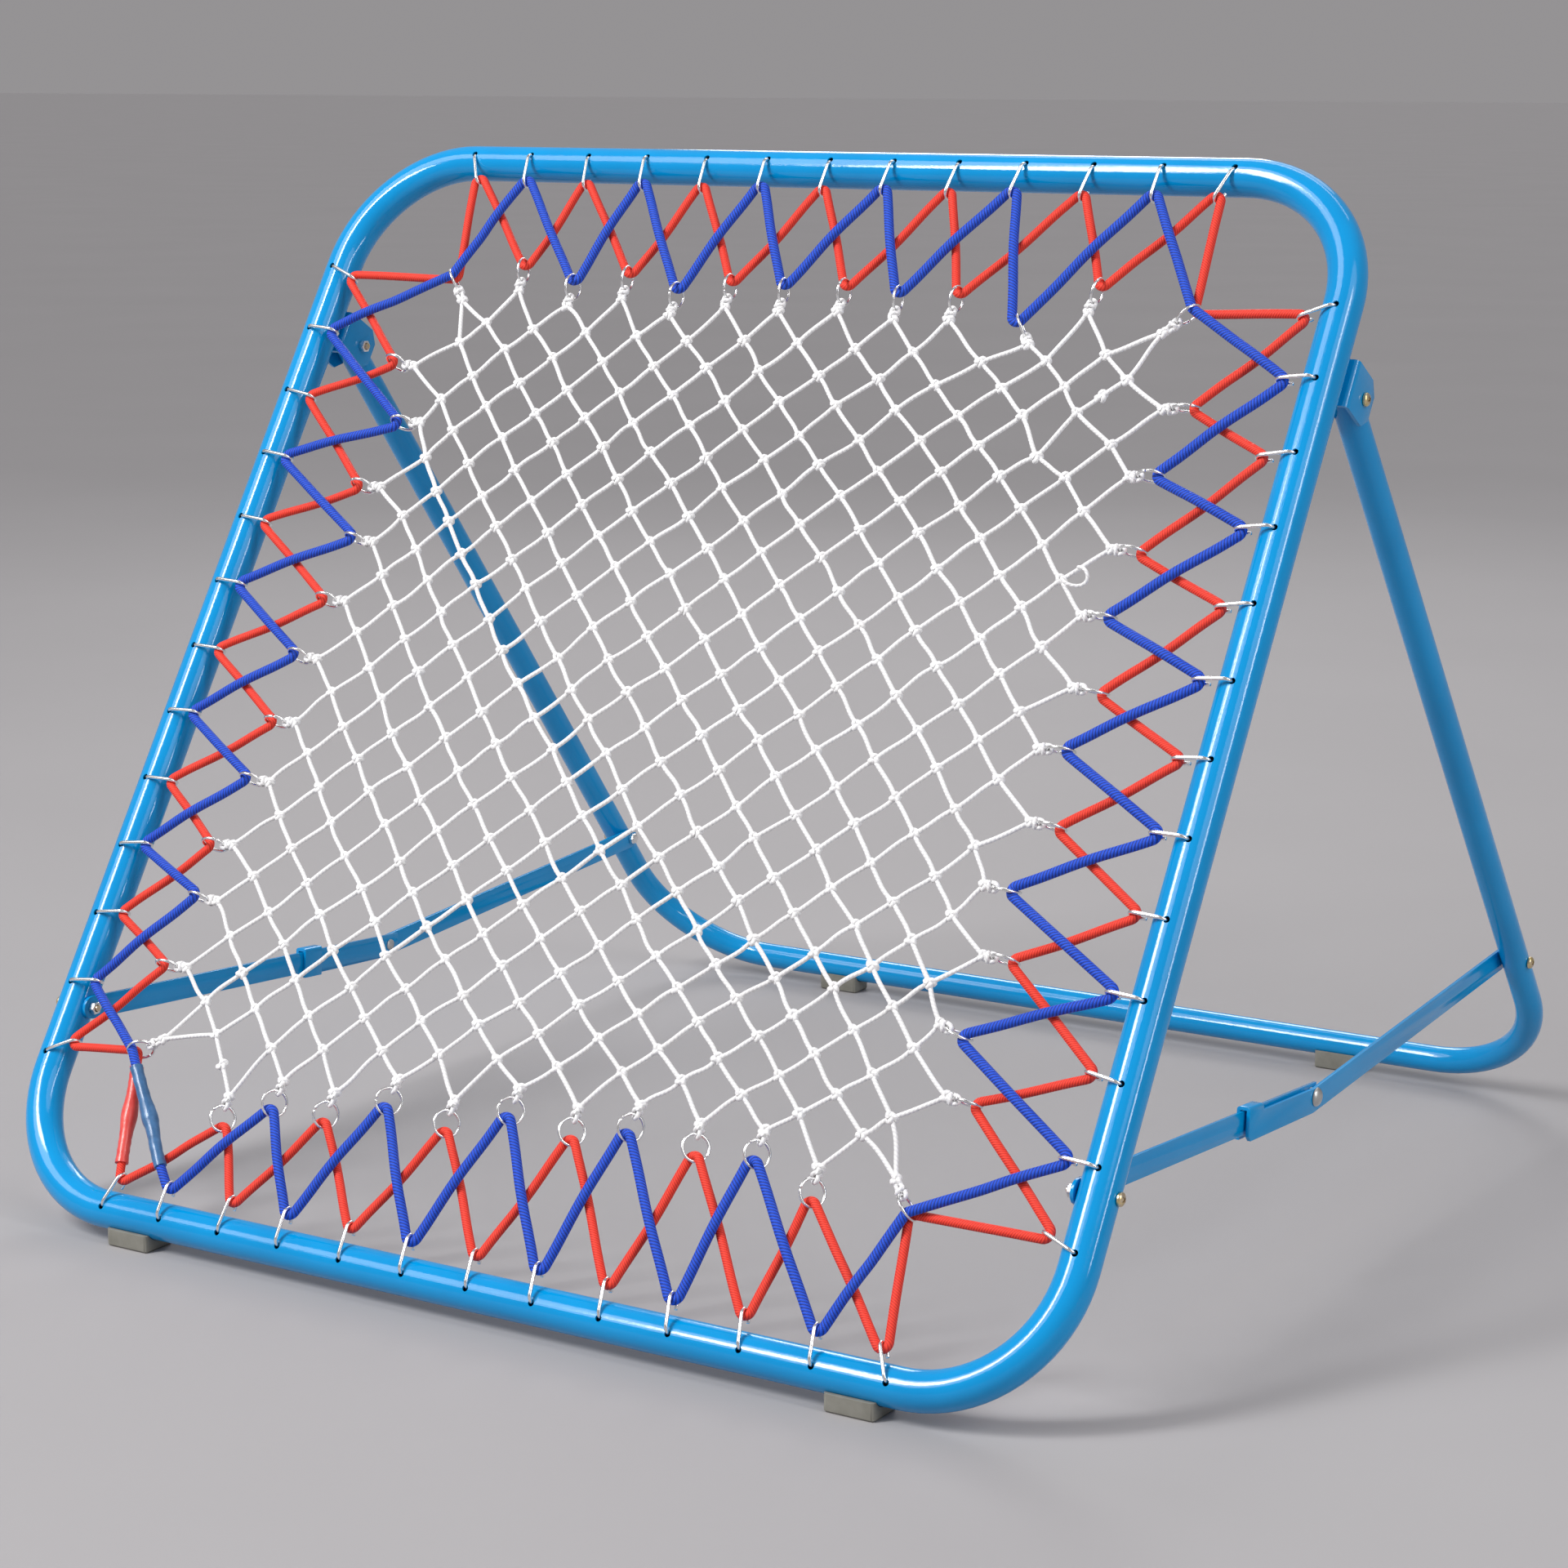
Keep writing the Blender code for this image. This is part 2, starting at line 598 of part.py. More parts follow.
def make_rivet(side):
    """Domed outside, with a small closing head on the inner side."""
    word = SIDE_NAMES[side]
    outer = REAR_BAR_X + BAR_THICK / 2 + GAP
    inner = FRONT_BAR_X - BAR_THICK / 2 - GAP
    length = outer - inner
    dome = [(RIVET_HEAD * sin(radians(a)), RIVET_DOME * cos(radians(a)))
            for a in (0, 25, 50, 75, 90)]
    profile = dome + [(RIVET_SHANK, 0), (RIVET_SHANK, -length), (RIVET_TAIL, -length),
                      (RIVET_TAIL - 0.0006, -length - 0.0014), (0, -length - 0.0016)]
    turned_part(f"brace_rivet_{word}", profile, "zinc", None, (side * outer, RIVET.y, RIVET.z),
                (0, side * pi / 2, 0))
    thick = REAR_BAR_X - FRONT_BAR_X - BAR_THICK - 2 * GAP
    middle = (side * (REAR_BAR_X + FRONT_BAR_X) / 2, RIVET.y, RIVET.z)
    name = f"brace_spacer_{word}"
    spacer = add_part(name, cylinder_mesh(name, SPACER, thick, 20), "zinc", None, middle)
    cut(spacer, [cutter_along_x(name + "_bore", RIVET_SHANK + GAP, 0.02, middle)])


def make_braces():
    for side, word in SIDE_NAMES.items():
        make_front_bar(side)
        make_rear_bar(side)
        make_rivet(side)
        nut_seat = FRONT_BAR_X - BAR_THICK / 2 - GAP
        make_bolt(f"brace_front_bolt_{word}", side, FRAME_SIDE + FRAME_TUBE + GAP,
                  nut_seat - NUT_HEIGHT - THREAD_END, FRONT_BOLT)
        make_nut(f"brace_front_nut_{word}", side, nut_seat, FRONT_BOLT)
        make_bolt(f"brace_rear_bolt_{word}", side, LEG_SIDE + LEG_TUBE + GAP, LEG_SIDE - LEG_TUBE,
                  REAR_BOLT)
        make_nut(f"brace_rear_nut_{word}", side, REAR_BAR_X - BAR_THICK / 2 - GAP, REAR_BOLT,
                 stub_to=REAR_BAR_X + BAR_THICK / 2)


# ---------------------------------------------------------------- net and cords

def hook_hole(side, number):
    """Where hook number 1 to 13 of a side leaves the tube."""
    step = number - 1 - MESHES // 2
    if side in ("top", "bottom"):
        return Vector((step * PITCH_ACROSS, FRAME_HEIGHT / 2 * OUTWARD[side][1]))
    return Vector((FRAME_SIDE * OUTWARD[side][0], -step * PITCH_UP))


def ring_seat(side, number):
    """Where ring number 1 to 11 of a side holds its cord; 0 and 12 are the corners' rings."""
    if number < 1:
        return Vector(CORNER_RINGS[LOW_CORNER[side]])
    if number > MESHES - 1:
        return Vector(CORNER_RINGS[HIGH_CORNER[side]])
    return Vector(RING_SEATS[side][number - 1])


def hook_seat(side, number):
    """Where a hook holds its cord: it swings towards the rings on either side."""
    hole = hook_hole(side, number)
    pull = Vector((0, 0))
    for ring in (number - 2, number):
        pull += (ring_seat(side, ring) - hole).normalized()
    return hole + pull.normalized() * HOOK_REACH


def cord_stops(first_hook):
    """Hooks and rings that one cord visits, clockwise from the bottom left corner ring."""
    stops = []
    for side in ("left", "top", "right", "bottom"):
        stops.append(ring_seat(side, 0 if COUNTED_FORWARD[side] else MESHES))
        hooks = list(range(first_hook, MESHES + 3 - first_hook, 2))
        if not COUNTED_FORWARD[side]:
            hooks.reverse()
        for index, hook in enumerate(hooks):
            if index:
                stops.append(ring_seat(side, (hook + hooks[index - 1]) // 2 - 1))
            stops.append(hook_seat(side, hook))
    return stops


def crossing(start, end, other_stops):
    """Fraction of a span at which it passes the other cord; the middle if it doesn't."""
    span = end - start
    for index, other_end in enumerate(other_stops):
        other_start = other_stops[index - 1]
        other_span = other_end - other_start
        area = span.cross(other_span)
        if abs(area) < 1e-9:
            continue
        here = (other_start - start).cross(other_span) / area
        there = (other_start - start).cross(span) / area
        if 0.02 < here < 0.98 and 0.02 < there < 0.98:
            return here
    return 0.5


def cord_points(first_hook, bow):
    """Rounded zigzag: two points at each stop, and one where it passes the other cord."""
    places = [Vector(place) for place in cord_stops(first_hook)]
    other_places = [Vector(place) for place in cord_stops(3 - first_hook)]
    points = []
    count = len(places)
    for index, place in enumerate(places):
        following = places[(index + 1) % count]
        before = (places[index - 1] - place).normalized() * CORD_ROUNDING
        after = (following - place).normalized() * CORD_ROUNDING
        lift = bow if is_corner(index, first_hook) else 0
        pass_point = place.lerp(following, crossing(place, following, other_places))
        points.append(Vector((*(place + before), CORD_PLANE + lift)))
        points.append(Vector((*(place + after), CORD_PLANE + lift)))
        points.append(Vector((*pass_point, CORD_PLANE + bow)))
    return points


def is_corner(index, first_hook):
    """Both cords share the corner rings, so there they lie one over the other."""
    hooks = (MESHES + 3 - 2 * first_hook) // 2 + 1
    return index % (2 * hooks) == 0


def make_cord(colour, first_hook, bow, joint_bow):
    """Elastic cord whose two ends meet inside a sleeve by the bottom left corner."""
    places = [Vector(place) for place in cord_stops(first_hook)]
    middle = (places[-1] + places[0]) / 2
    reach = (places[0] - places[-1]).normalized() * SLEEVE_LENGTH / 2
    lift = CORD_PLANE + joint_bow
    low_end, joint, high_end = (Vector((*(middle + reach * way), lift)) for way in (-1, 0, 1))
    half_gap = (high_end - low_end).normalized() * GAP
    path = [joint + half_gap, high_end] + cord_points(first_hook, bow)[:-1]
    path += [low_end, joint - half_gap]
    name = f"{colour}_elastic_cord"
    cord = add_part(name, swept_mesh(name, path, CORD, 6), f"{colour}_cord", FRAME_PLANE)
    smooth(cord, 80)
    name = f"{colour}_cord_sleeve"
    sleeve = add_part(name, swept_mesh(name, [low_end, joint, high_end], SLEEVE, 12),
                      f"{colour}_sleeve", FRAME_PLANE)
    beyond = [joint + (low_end - joint) * 1.2, joint + (high_end - joint) * 1.2]
    bore = add_part(name + "_bore", swept_mesh(name + "_bore", beyond, CORD + 2 * GAP, 12),
                    f"{colour}_sleeve", FRAME_PLANE)
    cut(sleeve, [bore])
    smooth(sleeve)


def edge_walk():
    """Knots that are tied to rings, clockwise from the top left corner."""
    along = range(2, LAST, 2)
    walk = [(0, 0)] + [(x, -1) for x in along]
    walk += [(LAST, 0)] + [(LAST + 1, y) for y in along]
    walk += [(LAST, LAST)] + [(x, LAST + 1) for x in reversed(along)]
    walk += [(0, LAST)] + [(-1, y) for y in reversed(along)]
    return walk


def knot_seat(key):
    """Cord seat of the ring that holds an edge knot."""
    x, y = key
    if key in CORNERS:
        return Vector(CORNER_RINGS[CORNERS[key]])
    if y < 0 or y > LAST:
        return ring_seat("top" if y < 0 else "bottom", x // 2)
    return ring_seat("left" if x < 0 else "right", y // 2)


def net_bars():
    """Pairs of knots joined by a bar of twine, each with its pull for its length."""
    tied = [key for key in edge_walk() if key not in CORNERS]
    keys = {(x, y) for x in range(LAST + 1) for y in range(LAST + 1) if (x + y) % 2}
    keys.update(tied)
    bars = []
    for x, y in sorted(keys):
        for other in ((x - 1, y + 1), (x + 1, y + 1)):
            if other in keys:
                outer = (x, y) in tied or other in tied
                bars.append(((x, y), other, EDGE_PULL if outer else 1.0))
    for x, y in CORNERS:
        bars.append(((x, y), (abs(x - 1), y), CORNER_PULL))
        bars.append(((x, y), (x, abs(y - 1)), CORNER_PULL))
    return bars


def balanced(bars, fixed):
    """Places of the free knots when the bars' pulls are in balance."""
    free = sorted({key for bar in bars for key in bar[:2]} - set(fixed))
    row = {key: number for number, key in enumerate(free)}
    pulls = np.zeros((len(free), len(free)))
    loads = np.zeros((len(free), 2))
    for first, second, pull in bars:
        for here, there in ((first, second), (second, first)):
            if here not in row:
                continue
            pulls[row[here], row[here]] += pull
            if there in row:
                pulls[row[here], row[there]] -= pull
            else:
                loads[row[here]] += pull * np.array(fixed[there])
    places = np.linalg.solve(pulls, loads)
    return {key: Vector(places[number]) for key, number in row.items()}


def net_knots():
    """Places of all knots; each edge knot hangs from its ring in line with its bars' pull."""
    bars = net_bars()
    seats = {key: knot_seat(key) for key in edge_walk()}
    hang = {key: -seat.normalized() for key, seat in seats.items()}
    for _ in range(LINK_ROUNDS):
        knots = {key: seat + hang[key] * (CORNER_LINK if key in CORNERS else LINK)
                 for key, seat in seats.items()}
        knots.update(balanced(bars, knots))
        pull = {key: Vector((0, 0)) for key in seats}
        for first, second, _ in bars:
            for here, there in ((first, second), (second, first)):
                if here in pull:
                    pull[here] += knots[there] - knots[here]
        hang = {key: force.normalized() for key, force in pull.items()}
    return knots


def shrunk_hole(corners):
    """Opening between knots, less the twine's half width on every side."""
    hole = []
    for number, corner in enumerate(corners):
        before = (corners[number - 1] - corner).normalized()
        after = (corners[(number + 1) % len(corners)] - corner).normalized()
        reach = TWINE / sin(before.angle(after) / 2)
        hole.append(tuple(corner + (before + after).normalized() * reach))
    return hole


def net_outline(knots):
    """Zigzag edge with a narrow link from every edge knot out to its ring."""
    walk = edge_walk()
    outline = []
    for number, key in enumerate(walk):
        following = walk[(number + 1) % len(walk)]
        knot = knots[key]
        seat = knot_seat(key)
        out = (seat - knot).normalized()
        across = Vector((out.y, -out.x))
        tip = seat - out * (CORD + 0.0015)
        for side, end in ((-1, knot), (-1, tip), (1, tip), (1, knot)):
            outline.append(end + across * side * TWINE)
        notch = tuple(min(max((a + b) // 2, 0), LAST) for a, b in zip(key, following))
        away = ((knot + knots[following]) / 2 - knots[notch]).normalized()
        outline.append(knots[notch] + away * TWINE * sqrt(2))
    return [tuple(point) for point in outline]


def make_net():
    """Diamond net in one plane: a zigzag outline pierced by every whole mesh."""
    knots = net_knots()
    loops = [net_outline(knots)]
    for x in range(LAST + 1):
        for y in range(LAST + 1):
            around = ((x - 1, y), (x, y - 1), (x + 1, y), (x, y + 1))
            if (x, y) in CORNERS:
                around = ((x, y), (abs(x - 1), y), (x, abs(y - 1)))
            if (x + y) % 2 == 0:
                loops.append(shrunk_hole([knots[key] for key in around]))
    mesh = mesh_from_curve("net", flat_outline("net", loops, 2 * TWINE))
    return add_part("net", mesh, "twine", FRAME_PLANE, (0, 0, CORD_PLANE))


make_front_frame()
make_rear_leg()
make_feet()
make_hinges()
make_braces()
make_cord("red", 1, -CORD_BOW, -CORD_BOW)
make_cord("blue", 2, CORD_BOW, JOINT_BOW)
make_net()
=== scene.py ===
"""Looks of the folding ball rebounder: paint, wire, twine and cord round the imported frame.

Units are metres, +Z is up and the net faces -Y. Places on the net are in the frame's own plane:
X across, Y up along the frame and Z out towards the player, from the centre of the tube loop.
"""
import json
from math import atan2, cos, pi, radians, sin, sqrt
from random import Random

import bmesh
import bpy
import numpy as np
from mathutils import Matrix, Vector

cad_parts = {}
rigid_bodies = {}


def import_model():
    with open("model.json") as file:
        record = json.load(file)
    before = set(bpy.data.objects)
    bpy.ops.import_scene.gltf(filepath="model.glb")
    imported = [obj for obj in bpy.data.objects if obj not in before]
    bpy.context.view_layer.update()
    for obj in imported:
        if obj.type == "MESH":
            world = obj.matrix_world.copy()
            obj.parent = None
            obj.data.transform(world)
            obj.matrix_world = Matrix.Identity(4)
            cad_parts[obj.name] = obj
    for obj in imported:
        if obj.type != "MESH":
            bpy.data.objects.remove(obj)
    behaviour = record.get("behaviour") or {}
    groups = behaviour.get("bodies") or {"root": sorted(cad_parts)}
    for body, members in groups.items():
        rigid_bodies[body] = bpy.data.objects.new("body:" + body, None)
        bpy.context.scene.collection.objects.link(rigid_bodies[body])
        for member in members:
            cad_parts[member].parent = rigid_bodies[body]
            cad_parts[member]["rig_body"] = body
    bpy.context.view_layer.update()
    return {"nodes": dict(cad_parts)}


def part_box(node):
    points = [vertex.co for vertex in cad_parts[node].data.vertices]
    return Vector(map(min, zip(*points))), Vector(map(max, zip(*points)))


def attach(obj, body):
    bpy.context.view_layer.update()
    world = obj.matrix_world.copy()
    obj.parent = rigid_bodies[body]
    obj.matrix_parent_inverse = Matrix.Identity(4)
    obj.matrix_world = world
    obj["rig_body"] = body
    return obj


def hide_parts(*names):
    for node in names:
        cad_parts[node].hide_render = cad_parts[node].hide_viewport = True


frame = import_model()

# Tubes, as in the CAD
LEAN = radians(32.4)
FRAME_WIDTH = 1.000
FRAME_HEIGHT = 1.014
FRAME_TUBE = 0.016
FRAME_CORNER = 0.112
WALL = 0.0015
LEG_WIDTH = 1.004
LEG_LENGTH = 0.877
LEG_TUBE = 0.0127
LEG_CORNER = 0.120
LEG_END = 0.014
HINGE_UP = 0.336
SHEET = 0.003
EAR_HALF = 0.0205
EAR_DEPTH = 0.044
EAR_CHAMFER = 0.010
GAP = 0.0003

# Fasteners
SHANK = 0.003
BOLT_HOLE = 0.0033
BOLT_DRILL = 0.03               # how far a drill reaches each way
HEAD = 0.0055
HEAD_HEIGHT = 0.0042
RIVET_SHANK = 0.0035
RIVET_HEAD = 0.008
RIVET_DOME = 0.0045
RIVET_TAIL = 0.0052
RIVET_CLOSING = 0.0016          # height of the small head on its inner end

# Net, cords, hooks and rings
PITCH_ACROSS = 0.0636
PITCH_UP = 0.0645
SPACES = 12                     # between the hooks of each side
LAST = 2 * SPACES               # the net's lattice, counted in half meshes
CORD_PLANE = 0.013
CORDS = {"red": 0.0037, "blue": 0.0041}     # radius
CORD_APART = {"red": -0.0013, "blue": 0.0013}   # the blue cord always passes in front
CORD_BOW = 0.0027               # how far a cord bows where the other one passes
BOW_REACH = 0.042
JOINT_BOW = 0.0016              # and how much more at its sleeve
JOINT_REACH = 0.06
ARC_STEPS = 8                   # round each wire
RUN_STEPS = 30                  # between wires
HOOK_WIRE = 0.00155
HOOK_REACH = 0.0255
HOOK_BEND = 0.0057              # radius of the round end, to the wire's middle
HOOK_ELBOW = 0.0052
HOOK_HOLE = 0.0027
HOOK_DRILL = (0.008, 0.019)     # through the tube's front wall only
HOOK_ROOT = 0.0095              # the wire starts inside the tube
HOLE_PULL = 0.0009              # each hook lies against its hole's near edge
RING_WIRE = 0.00125
RING_RADIUS = 0.0109
RING_GRIP = 0.0051              # from the cord's middle to the wire that it pulls on
TWINE = 0.00185
KNOT_TWINE = 0.0021
KNOT_WIDE = 0.00130             # scales of a knot's three windings
KNOT_HIGH = 0.00112
KNOT_DEEP = 0.0014
LINK = 0.025
CORNER_LINK = 0.030
EDGE_PULL = 0.90
CORNER_PULL = 0.75
LINK_ROUNDS = 12
SLEEVE = 0.0054
SLEEVE_LUMP = 0.0018            # over the cord's joined ends
LUMP_REACH = 0.012
SLEEVE_FLARES = {"red": 0.0006, "blue": 0.0002}
SLEEVE_LENGTHS = {"red": 0.090, "blue": 0.100}
CLIP_LENGTH = 0.024
CLIP_FOLD = 0.0028              # outer radius of the brace clip's folds

# Where each ring holds its cord; tied by hand, so not quite even
RING_SEATS = {
    "top": ((-0.285, 0.396), (-0.225, 0.382), (-0.170, 0.392), (-0.113, 0.378), (-0.061, 0.388),
            (-0.006, 0.386), (0.054, 0.388), (0.108, 0.383), (0.164, 0.385), (0.229, 0.361),
            (0.292, 0.397)),
    "right": ((0.404, 0.292), (0.391, 0.231), (0.394, 0.165), (0.384, 0.108), (0.395, 0.045),
              (0.381, -0.005), (0.392, -0.068), (0.369, -0.123), (0.385, -0.178), (0.364, -0.242),
              (0.388, -0.292)),
    "bottom": ((-0.290, -0.420), (-0.244, -0.399), (-0.189, -0.400), (-0.132, -0.379),
               (-0.069, -0.388), (-0.013, -0.368), (0.050, -0.375), (0.101, -0.363),
               (0.165, -0.369), (0.219, -0.365), (0.276, -0.386)),
    "left": ((-0.394, 0.293), (-0.364, 0.233), (-0.384, 0.169), (-0.370, 0.118), (-0.378, 0.057),
             (-0.387, 0.002), (-0.386, -0.062), (-0.391, -0.117), (-0.406, -0.181),
             (-0.401, -0.229), (-0.409, -0.294)),
}
CORNER_RINGS = {
    "top_left": (-0.359, 0.382),
    "top_right": (0.381, 0.378),
    "bottom_left": (-0.406, -0.373),
    "bottom_right": (0.361, -0.382),
}
CORNERS = {(0, 0): "top_left", (LAST, 0): "top_right",
           (0, LAST): "bottom_left", (LAST, LAST): "bottom_right"}
OUTWARD = {"top": (0, 1), "right": (1, 0), "bottom": (0, -1), "left": (-1, 0)}
COUNTED_FORWARD = {"top": True, "right": True, "bottom": False, "left": False}
LOW_CORNER = {"top": "top_left", "right": "top_right",
              "bottom": "bottom_left", "left": "top_left"}
HIGH_CORNER = {"top": "top_right", "right": "bottom_right",
               "bottom": "bottom_right", "left": "bottom_left"}
RING_TILT = {"top": 0, "right": 8, "bottom": 38, "left": 8}     # degrees, towards the player

# Small faults of the net: knots pulled aside, mended bars and a loose end
PULLED_KNOTS = {(22, 3): (-0.004, -0.010), (23, 2): (-0.008, 0.0)}
MENDED_BARS = (((23, 2), (24, 1)), ((1, 24), (2, 25)))
LOOSE_END = (0.346, 0.139)

CAMERA_PLACE = (1.616, -2.631, 0.973)
CAMERA_AIM = (0.0, -0.0585, 0.3538)
CAMERA_LENS = 81.4

SIDES = {"left": -1, "right": 1}
chance = Random(7)


def middle(node):
    low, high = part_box(node)
    return (low + high) / 2


PLANE = Matrix.Translation(middle("front_frame")) @ Matrix.Rotation(pi / 2 - LEAN, 4, "X")
HINGE = middle("hinge_bolt_right")
FLOOR_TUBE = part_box("rear_leg")[0].z + LEG_TUBE
LEG_DROP = HINGE.z - FLOOR_TUBE
LEG_SPLAY = atan2(sqrt(LEG_LENGTH ** 2 - LEG_DROP ** 2), LEG_DROP)
LEG_PLANE = Matrix.Translation((0, HINGE.y, HINGE.z)) @ Matrix.Rotation(pi / 2 + LEG_SPLAY, 4, "X")


# ---------------------------------------------------------------- materials

class Finish:
    """A Principled material with helpers for its procedural detail."""

    def __init__(self, name, colour, roughness, metallic=0.0, **values):
        self.material = bpy.data.materials.new(name)
        self.material.use_nodes = True
        self.nodes = self.material.node_tree.nodes
        self.links = self.material.node_tree.links
        self.shader = self.nodes["Principled BSDF"]
        settings = {"Base Color": (*colour, 1), "Roughness": roughness, "Metallic": metallic}
        settings.update({key.replace("_", " "): value for key, value in values.items()})
        for key, value in settings.items():
            self.shader.inputs[key].default_value = value
        self.place = self.nodes.new("ShaderNodeTexCoord").outputs["Object"]
        self.last_bump = None

    def noise(self, scale, detail=3.0, stretch=(1, 1, 1)):
        mapping = self.nodes.new("ShaderNodeMapping")
        mapping.inputs["Scale"].default_value = stretch
        self.links.new(self.place, mapping.inputs["Vector"])
        noise = self.nodes.new("ShaderNodeTexNoise")
        noise.inputs["Scale"].default_value = scale
        noise.inputs["Detail"].default_value = detail
        self.links.new(mapping.outputs["Vector"], noise.inputs["Vector"])
        return noise.outputs["Fac"]

    def math(self, operation, first, second=0.0):
        node = self.nodes.new("ShaderNodeMath")
        node.operation = operation
        for socket, value in zip(node.inputs, (first, second)):
            if isinstance(value, (int, float)):
                socket.default_value = value
            else:
                self.links.new(value, socket)
        return node.outputs[0]

    def ramp(self, factor, stops):
        node = self.nodes.new("ShaderNodeValToRGB")
        elements = node.color_ramp.elements
        while len(elements) < len(stops):
            elements.new(0.5)
        for element, (position, colour) in zip(elements, stops):
            element.position = position
            element.color = (*colour, 1)
        self.links.new(factor, node.inputs["Fac"])
        return node.outputs["Color"]

    def mix(self, factor, first, second, blend="MIX"):
        node = self.nodes.new("ShaderNodeMix")
        node.data_type = "RGBA"
        node.blend_type = blend
        colours = [socket for socket in node.inputs if socket.type == "RGBA"]
        for socket, value in ((node.inputs["Factor"], factor), (colours[0], first),
                              (colours[1], second)):
            if isinstance(value, (int, float, tuple)):
                socket.default_value = value
            else:
                self.links.new(value, socket)
        return [socket for socket in node.outputs if socket.type == "RGBA"][0]

    def colour(self, socket):
        self.links.new(socket, self.shader.inputs["Base Color"])

    def rough(self, factor, low, high):
        node = self.nodes.new("ShaderNodeMapRange")
        node.inputs["To Min"].default_value = low
        node.inputs["To Max"].default_value = high
        self.links.new(factor, node.inputs["Value"])
        self.links.new(node.outputs["Result"], self.shader.inputs["Roughness"])

    def bump(self, height, distance, strength=1.0):
        node = self.nodes.new("ShaderNodeBump")
        node.inputs["Strength"].default_value = strength
        node.inputs["Distance"].default_value = distance
        self.links.new(height, node.inputs["Height"])
        if self.last_bump:
            self.links.new(self.last_bump, node.inputs["Normal"])
        self.last_bump = node.outputs["Normal"]
        self.links.new(self.last_bump, self.shader.inputs["Normal"])

    def helix(self, rib, strands):
        """Ribs that wind round a strand, from its own length and angle; 0 to 1."""
        mark = self.nodes.new("ShaderNodeAttribute")
        mark.attribute_name = "strand"
        parts = self.nodes.new("ShaderNodeSeparateXYZ")
        self.links.new(mark.outputs["Vector"], parts.inputs[0])
        along, across, over = parts.outputs
        turn = self.math("MULTIPLY", self.math("ARCTAN2", over, across), strands)
        phase = self.math("ADD", self.math("MULTIPLY", along, 2 * pi / rib), turn)
        wave = self.math("SINE", phase)
        return self.math("MULTIPLY", self.math("ADD", wave, 1.0), 0.5)


def paint():
    finish = Finish("gloss_blue_paint", (0.0, 0.29, 0.66), 0.10, Coat_Weight=0.15,
                    Coat_Roughness=0.04, Specular_IOR_Level=0.4)
    tone = finish.noise(9, 4)
    base = finish.ramp(tone, ((0.30, (0.0, 0.262, 0.60)), (0.70, (0.0, 0.312, 0.70))))
    specks = finish.ramp(finish.noise(900, 2), ((0.74, (0, 0, 0)), (0.78, (1, 1, 1))))
    patches = finish.ramp(finish.noise(22, 3), ((0.52, (0, 0, 0)), (0.66, (1, 1, 1))))
    dust = finish.math("MULTIPLY", specks, patches)
    finish.colour(finish.mix(finish.math("MULTIPLY", dust, 0.3), base, (0.40, 0.60, 0.85, 1)))
    finish.rough(finish.noise(60, 4), 0.07, 0.16)
    finish.bump(finish.noise(420, 2), 0.00004)
    finish.bump(finish.noise(45, 3), 0.00012)
    return finish.material


def zinc(name, low, high, rough_low, rough_high):
    finish = Finish(name, high, 0.3, 1.0)
    finish.colour(finish.ramp(finish.noise(70, 4), ((0.30, low), (0.65, high))))
    finish.rough(finish.noise(120, 3), rough_low, rough_high)
    finish.bump(finish.noise(1400, 3), 0.00001)
    return finish.material


def yellow_zinc():
    finish = Finish("yellow_zinc_plate", (0.70, 0.55, 0.28), 0.3, 1.0)
    finish.colour(finish.ramp(finish.noise(240, 3), (
        (0.25, (0.62, 0.50, 0.22)), (0.45, (0.80, 0.64, 0.34)), (0.60, (0.72, 0.60, 0.48)),
        (0.75, (0.60, 0.62, 0.40)))))
    finish.rough(finish.noise(320, 4), 0.22, 0.42)
    finish.bump(finish.noise(1500, 3), 0.00005)
    return finish.material


def plastic():
    finish = Finish("moulded_grey_plastic", (0.22, 0.22, 0.19), 0.55)
    finish.colour(finish.ramp(finish.noise(70, 5), ((0.25, (0.185, 0.180, 0.150)),
                                                    (0.75, (0.265, 0.258, 0.225)))))
    finish.rough(finish.noise(140, 4), 0.45, 0.65)
    finish.bump(finish.noise(900, 4), 0.00008)
    return finish.material


def twine():
    finish = Finish("white_net_twine", (0.93, 0.93, 0.94), 0.75, Sheen_Weight=0.3,
                    Sheen_Roughness=0.4)
    ply = finish.helix(0.0036, 2)
    fibre = finish.helix(0.0011, 5)
    shade = finish.ramp(ply, ((0.0, (0.80, 0.80, 0.82)), (0.35, (0.91, 0.91, 0.92)),
                              (1.0, (0.96, 0.96, 0.96))))
    dirt = finish.ramp(finish.noise(30, 5), ((0.35, (0.95, 0.94, 0.93)), (0.65, (1.0, 1.0, 1.0))))
    finish.colour(finish.mix(1.0, shade, dirt, "MULTIPLY"))
    finish.bump(ply, 0.00022)
    finish.bump(fibre, 0.00010)
    finish.bump(finish.noise(2200, 3), 0.00015)
    return finish.material


def cord(name, dark, light, rib, strands, depth):
    finish = Finish(name, light, 0.62, Sheen_Weight=0.06, Sheen_Roughness=0.4)
    ribs = finish.helix(rib, strands)
    cross = finish.helix(rib * 0.5, -2 * strands)
    # The ramp's dark end is painted shade in the valleys between the ribs, over the cord's own
    # colour.
    cloth_and_rib_shade = finish.ramp(ribs, ((0.08, dark), (0.50, light), (1.0, light)))
    fuzz = finish.ramp(finish.noise(1800, 4), ((0.3, (0.80, 0.80, 0.80)), (0.7, (1, 1, 1))))
    finish.colour(finish.mix(0.8, cloth_and_rib_shade, fuzz, "MULTIPLY"))
    finish.rough(finish.noise(500, 3), 0.5, 0.75)
    finish.bump(ribs, depth)
    finish.bump(cross, depth * 0.35)
    finish.bump(finish.noise(2600, 3), 0.0001)
    return finish.material


